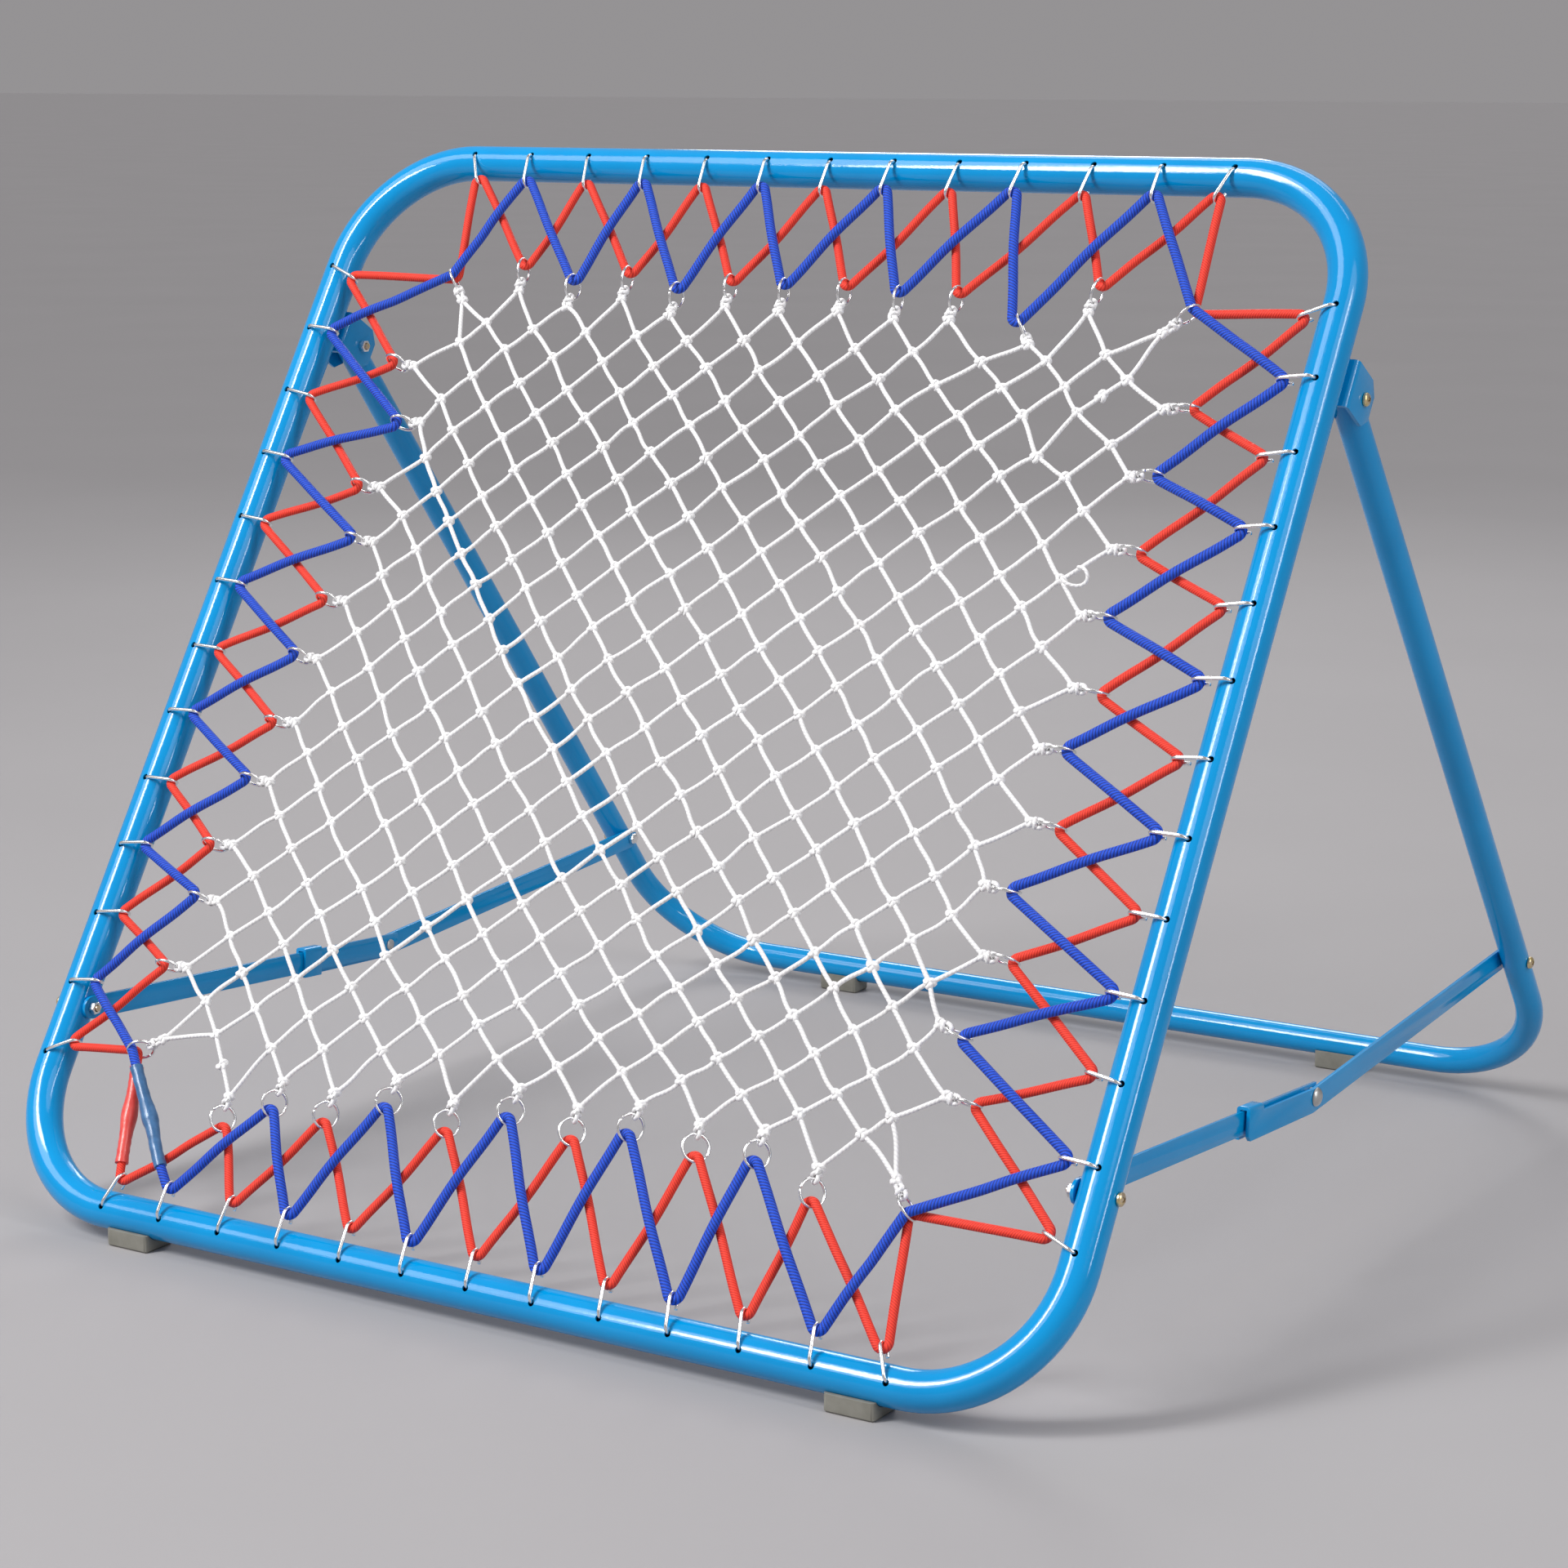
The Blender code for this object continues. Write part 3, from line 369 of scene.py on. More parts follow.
def sleeve(name, dark, light):
    finish = Finish(name, light, 0.32, Transmission_Weight=0.1, IOR=1.45, Coat_Weight=0.3,
                    Coat_Roughness=0.15)
    finish.colour(finish.ramp(finish.noise(120, 5), ((0.3, dark), (0.7, light))))
    finish.rough(finish.noise(200, 4), 0.22, 0.45)
    finish.bump(finish.noise(260, 4), 0.0005)
    return finish.material


FINISHES = {
    "blue_paint": paint(),
    "zinc": zinc("zinc_plate", (0.82, 0.82, 0.81), (0.94, 0.94, 0.93), 0.20, 0.32),
    "dull_zinc": zinc("worn_zinc", (0.40, 0.40, 0.39), (0.80, 0.80, 0.78), 0.28, 0.50),
    "yellow_zinc": yellow_zinc(),
    "grey_plastic": plastic(),
    "white_twine": twine(),
    # Each cord's first colour is painted shade for its rib valleys; the second is its own colour.
    "red_cord": cord("red_elastic", (0.66, 0.016, 0.006), (0.98, 0.050, 0.020), 0.0022, 6, 0.00020),
    "blue_cord": cord("blue_elastic", (0.001, 0.020, 0.24), (0.003, 0.085, 0.74), 0.0028, 5, 0.00032),
    "red_sleeve": sleeve("red_sleeve_film", (0.78, 0.06, 0.05), (0.92, 0.11, 0.09)),
    "blue_sleeve": sleeve("blue_sleeve_film", (0.035, 0.12, 0.27), (0.07, 0.20, 0.42)),
}


# ---------------------------------------------------------------- pieces

def piece(name, mesh, body, slot, finish=None, replaced=(), smooth=35):
    mesh.materials.append(FINISHES[finish or slot])
    mesh.shade_smooth()
    mesh.set_sharp_from_angle(angle=radians(smooth))
    made = bpy.data.objects.new(name, mesh)
    bpy.context.scene.collection.objects.link(made)
    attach(made, body)
    if replaced:
        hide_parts(*replaced)


def body_of(node):
    return frame["nodes"][node]["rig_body"]


def transported(tangents, closed):
    """Normals that turn as little as possible along a path."""
    first = np.cross(tangents[0], (0.31, 0.17, 0.93))
    normals = [first / np.linalg.norm(first)]
    for tangent in tangents[1:]:
        normal = normals[-1] - tangent * tangent.dot(normals[-1])
        normals.append(normal / np.linalg.norm(normal))
    normals = np.array(normals)
    if closed:
        start, last = normals[0], normals[-1]
        back = np.cross(tangents[0], start)
        drift = atan2(last.dot(back), last.dot(start))
        turns = -drift * np.arange(len(normals)) / len(normals)
        sides = np.cross(tangents, normals)
        normals = normals * np.cos(turns)[:, None] + sides * np.sin(turns)[:, None]
    return normals


class Strands:
    """Round strands gathered in one mesh; each corner keeps its length along and its angle."""

    def __init__(self):
        self.corners = []
        self.marks = []
        self.faces = []
        self.total = 0

    def add(self, path, radius, sides=8, closed=False):
        path = np.array([tuple(point) for point in path], float)
        count = len(path)
        radii = np.full(count, radius) if np.isscalar(radius) else np.array(radius)
        ahead = np.roll(path, -1, 0)
        behind = np.roll(path, 1, 0)
        if not closed:
            ahead[-1] = path[-1]
            behind[0] = path[0]
        tangents = ahead - behind
        tangents /= np.linalg.norm(tangents, axis=1)[:, None]
        normals = transported(tangents, closed)
        binormals = np.cross(tangents, normals)
        angles = np.arange(sides) * 2 * pi / sides
        spokes = (np.cos(angles)[None, :, None] * normals[:, None]
                  + np.sin(angles)[None, :, None] * binormals[:, None])
        rings = path[:, None] + radii[:, None, None] * spokes
        steps = np.linalg.norm(np.diff(path, axis=0), axis=1)
        along = np.concatenate([[0.0], np.cumsum(steps)])
        marks = np.zeros((count, sides, 3))
        marks[:, :, 0] = along[:, None]
        marks[:, :, 1] = np.cos(angles)[None, :]
        marks[:, :, 2] = np.sin(angles)[None, :]
        here = np.arange(count if closed else count - 1)[:, None] * sides
        there = (here + sides) % (count * sides)
        one = np.arange(sides)[None, :]
        two = (one + 1) % sides
        quads = np.stack([here + one, here + two, there + two, there + one], axis=2)
        self.faces += (quads.reshape(-1, 4) + self.total).tolist()
        if not closed:
            first = [self.total + number for number in range(sides)]
            self.faces.append(first[::-1])
            self.faces.append([number + (count - 1) * sides for number in first])
        self.corners.append(rings.reshape(-1, 3))
        self.marks.append(marks.reshape(-1, 3))
        self.total += count * sides

    def mesh(self, name, place=None):
        mesh = bpy.data.meshes.new(name)
        mesh.from_pydata(np.concatenate(self.corners).tolist(), [], self.faces)
        attribute = mesh.attributes.new("strand", "FLOAT_VECTOR", "POINT")
        attribute.data.foreach_set("vector", np.concatenate(self.marks).ravel())
        if place is not None:
            mesh.transform(place)
        return mesh


def arc(centre, radius, start, end, steps):
    """Points on an arc in a plane; the angles are in degrees."""
    angles = [radians(start + (end - start) * i / steps) for i in range(steps + 1)]
    return [Vector((centre[0] + radius * cos(a), centre[1] + radius * sin(a))) for a in angles]


def with_round_ends(path, radius):
    """The path and its radii, with small steps that round off a cut wire's ends."""
    path = [Vector(point) for point in path]
    first = (path[1] - path[0]).normalized() * radius
    last = (path[-2] - path[-1]).normalized() * radius
    longer = [path[0], path[0] + first * 0.12, path[0] + first * 0.4] + path[1:-1]
    longer += [path[-1] + last * 0.4, path[-1] + last * 0.12, path[-1]]
    radii = [0.6 * radius, 0.88 * radius] + [radius] * (len(longer) - 4)
    return longer, radii + [0.88 * radius, 0.6 * radius]


def mesh_of(name, corners, faces):
    mesh = bpy.data.meshes.new(name)
    mesh.from_pydata(corners, [], faces)
    form = bmesh.new()
    form.from_mesh(mesh)
    bmesh.ops.recalc_face_normals(form, faces=form.faces)
    form.to_mesh(mesh)
    form.free()
    return mesh


def fold_edges(form):
    """The long outer edges of a clip folded over a bar, between its sides and its top."""
    found = []
    for edge in form.edges:
        share = edge.calc_length() / CLIP_LENGTH
        if len(edge.link_faces) == 2 and edge.is_convex and 0.75 < share < 1.25:
            sides = sorted(abs(face.normal.x) for face in edge.link_faces)
            upward = max(face.normal.z for face in edge.link_faces)
            if sides[0] < 0.1 and sides[1] > 0.9 and upward > 0.8:
                found.append(edge)
    return found


def rounded(mesh, width, segments=2, limit=25, shortest=0.0025, fold=0.0):
    """Join the mesh's flat areas and round its sharper edges, but not those of small holes."""
    form = bmesh.new()
    form.from_mesh(mesh)
    bmesh.ops.remove_doubles(form, verts=form.verts, dist=2e-5)
    bmesh.ops.recalc_face_normals(form, faces=form.faces)
    bmesh.ops.dissolve_limit(form, angle_limit=radians(1), verts=form.verts, edges=form.edges)
    if fold:
        bmesh.ops.bevel(form, geom=fold_edges(form), offset=fold, segments=5, profile=0.5,
                        affect="EDGES", clamp_overlap=True)
    edges = [edge for edge in form.edges
             if len(edge.link_faces) == 2 and edge.calc_face_angle(0) > radians(limit)
             and edge.calc_length() > shortest]
    bmesh.ops.bevel(form, geom=edges, offset=width, segments=segments, profile=0.5,
                    affect="EDGES", clamp_overlap=True)
    form.to_mesh(mesh)
    form.free()


def softened(node, width, slot, finish=None, segments=2, fold=0.0):
    """Piece in a CAD node's shape, with its edges rounded as made and kept inside its box."""
    source = frame["nodes"][node].data
    mesh = bpy.data.meshes.new(node + "_form")
    mesh.from_pydata([tuple(corner.co) for corner in source.vertices], [],
                     [tuple(face.vertices) for face in source.polygons])
    rounded(mesh, width, segments, fold=fold)
    low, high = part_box(node)
    for vertex in mesh.vertices:
        vertex.co = [min(max(c, a), b) for c, a, b in zip(vertex.co, low, high)]
    piece(node + "_shown", mesh, body_of(node), slot, finish, (node,))


def turned(name, profile, steps=40):
    """Mesh turned about Z; the profile runs from the top of the axis to its bottom."""
    corners = [(0, 0, profile[0][1]), (0, 0, profile[-1][1])]
    inner = profile[1:-1]
    for radius, height in inner:
        for step in range(steps):
            angle = 2 * pi * step / steps
            corners.append((radius * cos(angle), radius * sin(angle), height))
    faces = []
    for step in range(steps):
        after = (step + 1) % steps
        faces.append((0, 2 + step, 2 + after))
        for row in range(len(inner) - 1):
            here = 2 + row * steps
            faces.append((here + step, here + steps + step, here + steps + after, here + after))
        low = 2 + (len(inner) - 1) * steps
        faces.append((low + after, low + step, 1))
    return mesh_of(name, corners, faces)


def block(name, size, place):
    form = bmesh.new()
    bmesh.ops.create_cube(form, size=1)
    bmesh.ops.scale(form, vec=size, verts=form.verts)
    mesh = bpy.data.meshes.new(name)
    form.to_mesh(mesh)
    form.free()
    mesh.transform(place)
    return mesh


def carved(mesh, tools):
    """The mesh less each tool mesh in turn."""
    holder = bpy.data.objects.new("carving", mesh)
    bpy.context.scene.collection.objects.link(holder)
    cutters = []
    for tool in tools:
        cutter = bpy.data.objects.new("cutter", tool)
        bpy.context.scene.collection.objects.link(cutter)
        cutters.append(cutter)
        modifier = holder.modifiers.new("carve", "BOOLEAN")
        modifier.object = cutter
        modifier.operation = "DIFFERENCE"
        modifier.solver = "EXACT"
    bpy.context.view_layer.update()
    evaluated = holder.evaluated_get(bpy.context.evaluated_depsgraph_get())
    result = bpy.data.meshes.new_from_object(evaluated)
    for used in cutters + [holder]:
        bpy.data.objects.remove(used)
    return result


# ---------------------------------------------------------------- layout of net and cords

def hook_hole(side, number):
    step = number - 1 - SPACES // 2
    if side in ("top", "bottom"):
        return Vector((step * PITCH_ACROSS, FRAME_HEIGHT / 2 * OUTWARD[side][1]))
    return Vector((FRAME_WIDTH / 2 * OUTWARD[side][0], -step * PITCH_UP))


def ring_seat(side, number):
    if number < 1:
        return Vector(CORNER_RINGS[LOW_CORNER[side]])
    if number > SPACES - 1:
        return Vector(CORNER_RINGS[HIGH_CORNER[side]])
    return Vector(RING_SEATS[side][number - 1])


def hook_way(side, number):
    """A hook points between the rings on either side."""
    hole = hook_hole(side, number)
    pull = Vector((0, 0))
    for ring in (number - 2, number):
        pull += (ring_seat(side, ring) - hole).normalized()
    return pull.normalized()


def edge_walk():
    along = range(2, LAST, 2)
    walk = [(0, 0)] + [(x, -1) for x in along]
    walk += [(LAST, 0)] + [(LAST + 1, y) for y in along]
    walk += [(LAST, LAST)] + [(x, LAST + 1) for x in reversed(along)]
    walk += [(0, LAST)] + [(-1, y) for y in reversed(along)]
    return walk


def ring_name(key):
    """Side and number of the ring that holds an edge knot."""
    x, y = key
    if y < 0 or y > LAST:
        return ("top" if y < 0 else "bottom"), x // 2
    return ("left" if x < 0 else "right"), y // 2


def knot_seat(key):
    if key in CORNERS:
        return Vector(CORNER_RINGS[CORNERS[key]])
    return ring_seat(*ring_name(key))


def net_bars():
    tied = [key for key in edge_walk() if key not in CORNERS]
    keys = {(x, y) for x in range(LAST + 1) for y in range(LAST + 1) if (x + y) % 2}
    keys.update(tied)
    bars = []
    for x, y in sorted(keys):
        for other in ((x - 1, y + 1), (x + 1, y + 1)):
            if other in keys:
                outer = (x, y) in tied or other in tied
                bars.append(((x, y), other, EDGE_PULL if outer else 1.0))
    for x, y in CORNERS:
        bars.append(((x, y), (abs(x - 1), y), CORNER_PULL))
        bars.append(((x, y), (x, abs(y - 1)), CORNER_PULL))
    return bars


def balanced(bars, fixed):
    free = sorted({key for bar in bars for key in bar[:2]} - set(fixed))
    row = {key: number for number, key in enumerate(free)}
    pulls = np.zeros((len(free), len(free)))
    loads = np.zeros((len(free), 2))
    for first, second, pull in bars:
        for here, there in ((first, second), (second, first)):
            if here not in row:
                continue
            pulls[row[here], row[here]] += pull
            if there in row:
                pulls[row[here], row[there]] -= pull
            else:
                loads[row[here]] += pull * np.array(fixed[there])
    places = np.linalg.solve(pulls, loads)
    return {key: Vector(places[number]) for key, number in row.items()}


def net_knots():
    """Places of all knots; each edge knot hangs from its ring in line with its bars' pull."""
    bars = net_bars()
    seats = {key: knot_seat(key) for key in edge_walk()}
    hang = {key: -seat.normalized() for key, seat in seats.items()}
    for _ in range(LINK_ROUNDS):
        knots = {key: seat + hang[key] * (CORNER_LINK if key in CORNERS else LINK)
                 for key, seat in seats.items()}
        knots.update(balanced(bars, knots))
        pull = {key: Vector((0, 0)) for key in seats}
        for first, second, _ in bars:
            for here, there in ((first, second), (second, first)):
                if here in pull:
                    pull[here] += knots[there] - knots[here]
        hang = {key: force.normalized() for key, force in pull.items()}
    return knots


KNOTS = net_knots()


def cord_stops(first_hook):
    """Wires that one cord wraps, clockwise from the bottom left: place, wire, side of the cord."""
    stops = []
    for side in ("left", "top", "right", "bottom"):
        hooks = list(range(first_hook, SPACES + 3 - first_hook, 2))
        if not COUNTED_FORWARD[side]:
            hooks.reverse()
        stops.append(ring_stop(side, 0 if COUNTED_FORWARD[side] else SPACES))
        for index, hook in enumerate(hooks):
            if index:
                stops.append(ring_stop(side, (hook + hooks[index - 1]) // 2 - 1))
            way = hook_way(side, hook)
            place = hook_hole(side, hook) + way * (HOOK_REACH + HOOK_BEND)
            stops.append((place, HOOK_WIRE, 1))
    return stops


def edge_key(side, number):
    """Edge knot of a ring."""
    corner = {0: LOW_CORNER[side], SPACES: HIGH_CORNER[side]}.get(number)
    if corner:
        return [key for key, name in CORNERS.items() if name == corner][0]
    return {"top": (2 * number, -1), "bottom": (2 * number, LAST + 1),
            "left": (-1, 2 * number), "right": (LAST + 1, 2 * number)}[side]


def ring_out(key):
    """From an edge knot out to its ring."""
    return (knot_seat(key) - KNOTS[key]).normalized()


def ring_stop(side, number):
    key = edge_key(side, number)
    return knot_seat(key) + ring_out(key) * RING_GRIP, RING_WIRE, -1


def tangent_normal(here, there, radius):
    """Left-hand normal of the straight run between two wrapped wires."""
    (start, start_wire, start_side), (end, end_wire, end_side) = here, there
    span = end - start
    offset = start_side * (radius + start_wire) - end_side * (radius + end_wire)
    share = offset / span.length
    ahead = span.normalized()
    left = Vector((-ahead.y, ahead.x))
    return ahead * share + left * sqrt(1 - share * share)


def flat_cord(first_hook, radius):
    """Closed path of a cord's middle in the plane: arcs round wires and straight runs between.

    It starts at the middle of the last run, where the sleeve is.
    """
    stops = cord_stops(first_hook)
    count = len(stops)
    normals = [tangent_normal(stops[i], stops[(i + 1) % count], radius) for i in range(count)]
    path = []
    for index, (centre, wire, side) in enumerate(stops):
        before = normals[index - 1]
        after = normals[index]
        reach = side * (radius + wire)
        turn = atan2(before.cross(after), before.dot(after))
        for step in range(ARC_STEPS + 1):
            angle = turn * step / ARC_STEPS
            spoke = Vector((before.x * cos(angle) - before.y * sin(angle),
                            before.x * sin(angle) + before.y * cos(angle)))
            path.append(centre + spoke * reach)
        following, next_wire, next_side = stops[(index + 1) % count]
        start = path[-1]
        end = following + after * next_side * (radius + next_wire)
        path += [start.lerp(end, step / RUN_STEPS) for step in range(1, RUN_STEPS)]
    half_run = RUN_STEPS // 2
    path = path[-half_run:] + path[:-half_run]
    return np.array([tuple(point) for point in path])


def cord_paths():
    """Both cords in space: where they pass, the blue one bows out and the red one in."""
    flat = {"red": flat_cord(1, CORDS["red"]), "blue": flat_cord(2, CORDS["blue"])}
    paths = {}
    for colour, other, way in (("red", "blue", -1), ("blue", "red", 1)):
        points, others = flat[colour], flat[other]
        gaps = np.sqrt(((points[:, None] - others[None]) ** 2).sum(2)).min(1)
        from_joint = np.linalg.norm(points - points[0], axis=1)
        bow = CORD_BOW + JOINT_BOW * np.exp(-(from_joint / JOINT_REACH) ** 2)
        nearness = (1 + np.cos(pi * np.clip(gaps / BOW_REACH, 0, 1))) / 2
        heights = CORD_PLANE + CORD_APART[colour] + way * bow * nearness
        kernel = np.array([1, 2, 3, 2, 1]) / 9
        padded = np.concatenate([heights[-2:], heights, heights[:2]])
        paths[colour] = np.column_stack([points, np.convolve(padded, kernel, "valid")])
    return paths


# ---------------------------------------------------------------- tubes and brackets

def rounded_loop(half_width, half_height, radius, steps=20):
    corners = ((1, 1, 0), (-1, 1, 90), (-1, -1, 180), (1, -1, 270))
    points = []
    for sign_x, sign_y, start in corners:
        centre = (sign_x * (half_width - radius), sign_y * (half_height - radius))
        points += [(p.x, p.y, 0) for p in arc(centre, radius, start, start + 90, steps)]
    return points


def tube(path, radius, sides, closed=False, place=None):
    strands = Strands()
    strands.add(path, radius, sides, closed)
    return strands.mesh("tube", place)


def drills(spots, radius, ends, way, place=None):
    """Short rods to drill holes with, as one mesh; the ends are measured along the way."""
    rods = Strands()
    for spot in spots:
        rods.add([Vector(spot) + Vector(way) * end for end in ends], radius, 20)
    return rods.mesh("rods", place)


def bolt_drills(spots):
    return drills(spots, BOLT_HOLE, (-BOLT_DRILL, BOLT_DRILL), (1, 0, 0))


def make_front_tube():
    path = rounded_loop(FRAME_WIDTH / 2, FRAME_HEIGHT / 2, FRAME_CORNER)
    outer = tube(path, FRAME_TUBE, 56, True, PLANE)
    hollow = tube(path, FRAME_TUBE - WALL, 32, True, PLANE)
    holes = []
    for side in OUTWARD:
        for number in range(1, SPACES + 2):
            spot = hook_hole(side, number) - hook_way(side, number) * HOLE_PULL
            holes.append((*spot, 0))
    bolts = [middle(f"brace_front_bolt_{word}") for word in SIDES]
    bolts = [(side * FRAME_WIDTH / 2, spot.y, spot.z) for side, spot in zip(SIDES.values(), bolts)]
    tools = [hollow, drills(holes, HOOK_HOLE, HOOK_DRILL, (0, 0, 1), PLANE), bolt_drills(bolts)]
    piece("front_tube_loop", carved(outer, tools), "frame", "blue_paint", None, ("front_frame",))


def make_rear_tube():
    right = arc((LEG_WIDTH / 2 - LEG_CORNER, -LEG_LENGTH + LEG_CORNER), LEG_CORNER, 0, -90, 20)
    left = arc((-LEG_WIDTH / 2 + LEG_CORNER, -LEG_LENGTH + LEG_CORNER), LEG_CORNER, -90, -180, 20)
    flat = [Vector((LEG_WIDTH / 2, LEG_END))] + right + left + [Vector((-LEG_WIDTH / 2, LEG_END))]
    path = [(p.x, p.y, 0) for p in flat]
    bore = [(p.x, p.y + (0.01 if p.y > 0 else 0), 0) for p in flat]
    outer = tube(path, LEG_TUBE, 44, False, LEG_PLANE)
    hollow = tube(bore, LEG_TUBE - WALL, 28, False, LEG_PLANE)
    spots = []
    for word, side in SIDES.items():
        low = middle(f"brace_rear_bolt_{word}")
        spots += [(side * LEG_WIDTH / 2, HINGE.y, HINGE.z), (side * LEG_WIDTH / 2, low.y, low.z)]
    tools = [hollow, bolt_drills(spots)]
    piece("rear_tube_leg", carved(outer, tools), "leg", "blue_paint", None, ("rear_leg",))


def bracket_profile():
    """Channel of bent sheet across the tube: X across, Y back from the tube; outer wall first."""
    half = LEG_TUBE + GAP + SHEET
    bend = 0.0048
    wall = [Vector((-half, -EAR_DEPTH)), Vector((-half, -EAR_DEPTH + EAR_CHAMFER))]
    wall += arc((-half + bend, -bend), bend, 180, 90, 6)
    wall += arc((half - bend, -bend), bend, 90, 0, 6)
    wall += [Vector((half, -EAR_DEPTH + EAR_CHAMFER)), Vector((half, -EAR_DEPTH))]
    inner = half - SHEET
    less = bend - SHEET
    lining = [Vector((-inner, -EAR_DEPTH)), Vector((-inner, -EAR_DEPTH + EAR_CHAMFER))]
    lining += arc((-inner + less, -SHEET - less), less, 180, 90, 6)
    lining += arc((inner - less, -SHEET - less), less, 90, 0, 6)
    lining += [Vector((inner, -EAR_DEPTH + EAR_CHAMFER)), Vector((inner, -EAR_DEPTH))]
    return wall, lining


def make_bracket(word, side):
    """Folded channel behind the tube whose ears hold the leg's end."""
    wall, lining = bracket_profile()
    outline = wall + lining[::-1]
    top = -FRAME_TUBE - GAP
    corners = []
    for way in (-1, 1):
        for point in outline:
            short = max(0.0, -EAR_DEPTH + EAR_CHAMFER - point.y)
            corners.append((side * LEG_WIDTH / 2 + point.x, HINGE_UP + way * (EAR_HALF - short),
                            top + point.y))
    count = len(outline)
    half = len(wall)
    faces = [(i, (i + 1) % count, count + (i + 1) % count, count + i) for i in range(count)]
    for start in (0, count):
        for i in range(half - 1):
            faces.append((start + i, start + i + 1, start + count - 2 - i, start + count - 1 - i))
    mesh = mesh_of("bracket", corners, faces)
    mesh.transform(PLANE)
    centre = [(side * LEG_WIDTH / 2, HINGE.y, HINGE.z)]
    mesh = carved(mesh, [bolt_drills(centre)])
    rounded(mesh, 0.0005, 2, 50)
    name = f"hinge_bracket_{word}"
    piece(name + "_shown", mesh, body_of(name), "blue_paint", None, (name,))


# ---------------------------------------------------------------- fasteners

def bolt_mesh(length):
    """Pan head above Z = 0 with a crossed recess, and a threaded shank below it."""
    dome = [(HEAD * sin(radians(a)), HEAD_HEIGHT * (0.35 + 0.65 * cos(radians(a))))
            for a in range(0, 91, 10)]
    profile = dome + [(HEAD, 0.0004), (HEAD - 0.0004, 0), (SHANK, 0)]
    rib = 0.0008
    for number in range(int((length - 0.001) / rib)):
        profile += [(SHANK, -number * rib), (SHANK - 0.0003, -(number + 0.5) * rib)]
    profile += [(SHANK - 0.0004, -length), (0, -length)]
    mesh = turned("bolt", profile)
    tools = []
    for turn in (0, pi / 2):
        place = Matrix.Translation((0, 0, HEAD_HEIGHT)) @ Matrix.Rotation(turn + 0.4, 4, "Z")
        tools.append(block("driver_slot", (0.0056, 0.0011, 0.0036), place))
    return carved(mesh, tools)


def reach(node):
    """How far a node reaches across the frame."""
    low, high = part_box(node)
    return high.x - low.x


def set_across(mesh, node, side, head):
    """Lay a turned fastener across the frame, the top of its head at the node's outer end."""
    low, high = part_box(node)
    outer = high.x if side > 0 else low.x
    place = Matrix.Translation((outer - side * head, (low.y + high.y) / 2, (low.z + high.z) / 2))
    mesh.transform(place @ Matrix.Rotation(side * pi / 2, 4, "Y"))


def make_bolt(node, side):
    mesh = bolt_mesh(reach(node) - HEAD_HEIGHT)
    set_across(mesh, node, side, HEAD_HEIGHT)
    piece(node + "_shown", mesh, body_of(node), "yellow_zinc", None, (node,))


def make_rivet(node, side):
    length = reach(node) - RIVET_DOME - RIVET_CLOSING
    dome = [(RIVET_HEAD * sin(radians(a)), RIVET_DOME * cos(radians(a))) for a in range(0, 86, 8)]
    profile = dome + [(RIVET_HEAD, 0.0003), (RIVET_HEAD - 0.0004, 0), (RIVET_SHANK, 0),
                      (RIVET_SHANK, -length), (RIVET_TAIL, -length),
                      (RIVET_TAIL - 0.0003, -length - 0.0010),
                      (RIVET_TAIL - 0.0010, -length - 0.0015), (0, -length - RIVET_CLOSING)]
    mesh = turned("rivet", profile)
    set_across(mesh, node, side, RIVET_DOME)
    piece(node + "_shown", mesh, body_of(node), "zinc", "dull_zinc", (node,))


# ---------------------------------------------------------------- hooks, rings and net

def make_hook(side, number):
    """Wire out of its hole, bent along the cord's pull and turned back under the cord."""
    hole = hook_hole(side, number)
    way = hook_way(side, number)
    level = CORD_PLANE + CORD_APART["red" if number % 2 else "blue"]
    high = level + HOOK_BEND
    flat = [Vector((0, HOOK_ROOT))]
    flat += arc((HOOK_ELBOW, high - HOOK_ELBOW), HOOK_ELBOW, 180, 90, 6)
    flat += arc((HOOK_REACH, level), HOOK_BEND, 90, -90, 12)
    tail = chance.uniform(0.0035, 0.0070)
    flat.append(Vector((HOOK_REACH - tail, level - HOOK_BEND - 0.0004)))
    path = [(*(hole + way * point.x), point.y) for point in flat]
    strands = Strands()
    strands.add(*with_round_ends(path, HOOK_WIRE), 12)
    mesh = strands.mesh("hook", PLANE)
    piece(f"hook_{side}_{number:02d}", mesh, "frame", "zinc", None, (), 50)


def ring_axes(key):
    """Outward way, normal and third axis of the ring on an edge knot, in the frame's plane."""
    out = ring_out(key).to_3d()
    across = Vector((0, 0, 1)).cross(out)
    side = ring_name(key)[0]
    tilt = radians(TILTS[key] + (12 if key in CORNERS else RING_TILT[side]))
    normal = across * cos(tilt) + Vector((0, 0, 1)) * sin(tilt)
    if side in ("top", "bottom") and normal.x < 0:
        normal = -across * cos(tilt) + Vector((0, 0, 1)) * sin(tilt)
    return out, normal, normal.cross(out)


TILTS = {key: chance.uniform(-9, 9) for key in edge_walk()}


def make_ring(key):
    out, _, third = ring_axes(key)
    seat = Vector((*knot_seat(key), CORD_PLANE))
    centre = seat + out * (RING_GRIP - RING_RADIUS)
    gap = radians(chance.choice((-1, 1)) * chance.uniform(50, 130))
    path = []
    for step in range(41):
        angle = gap + radians(3 + 354 * step / 40)
        path.append(centre + (out * cos(angle) + third * sin(angle)) * RING_RADIUS)
    strands = Strands()
    strands.add(*with_round_ends(path, RING_WIRE), 10)
    name = CORNERS.get(key) or "_".join(str(word) for word in ring_name(key))
    piece(f"ring_{name}", strands.mesh("ring", PLANE), "frame", "zinc", None, (), 50)


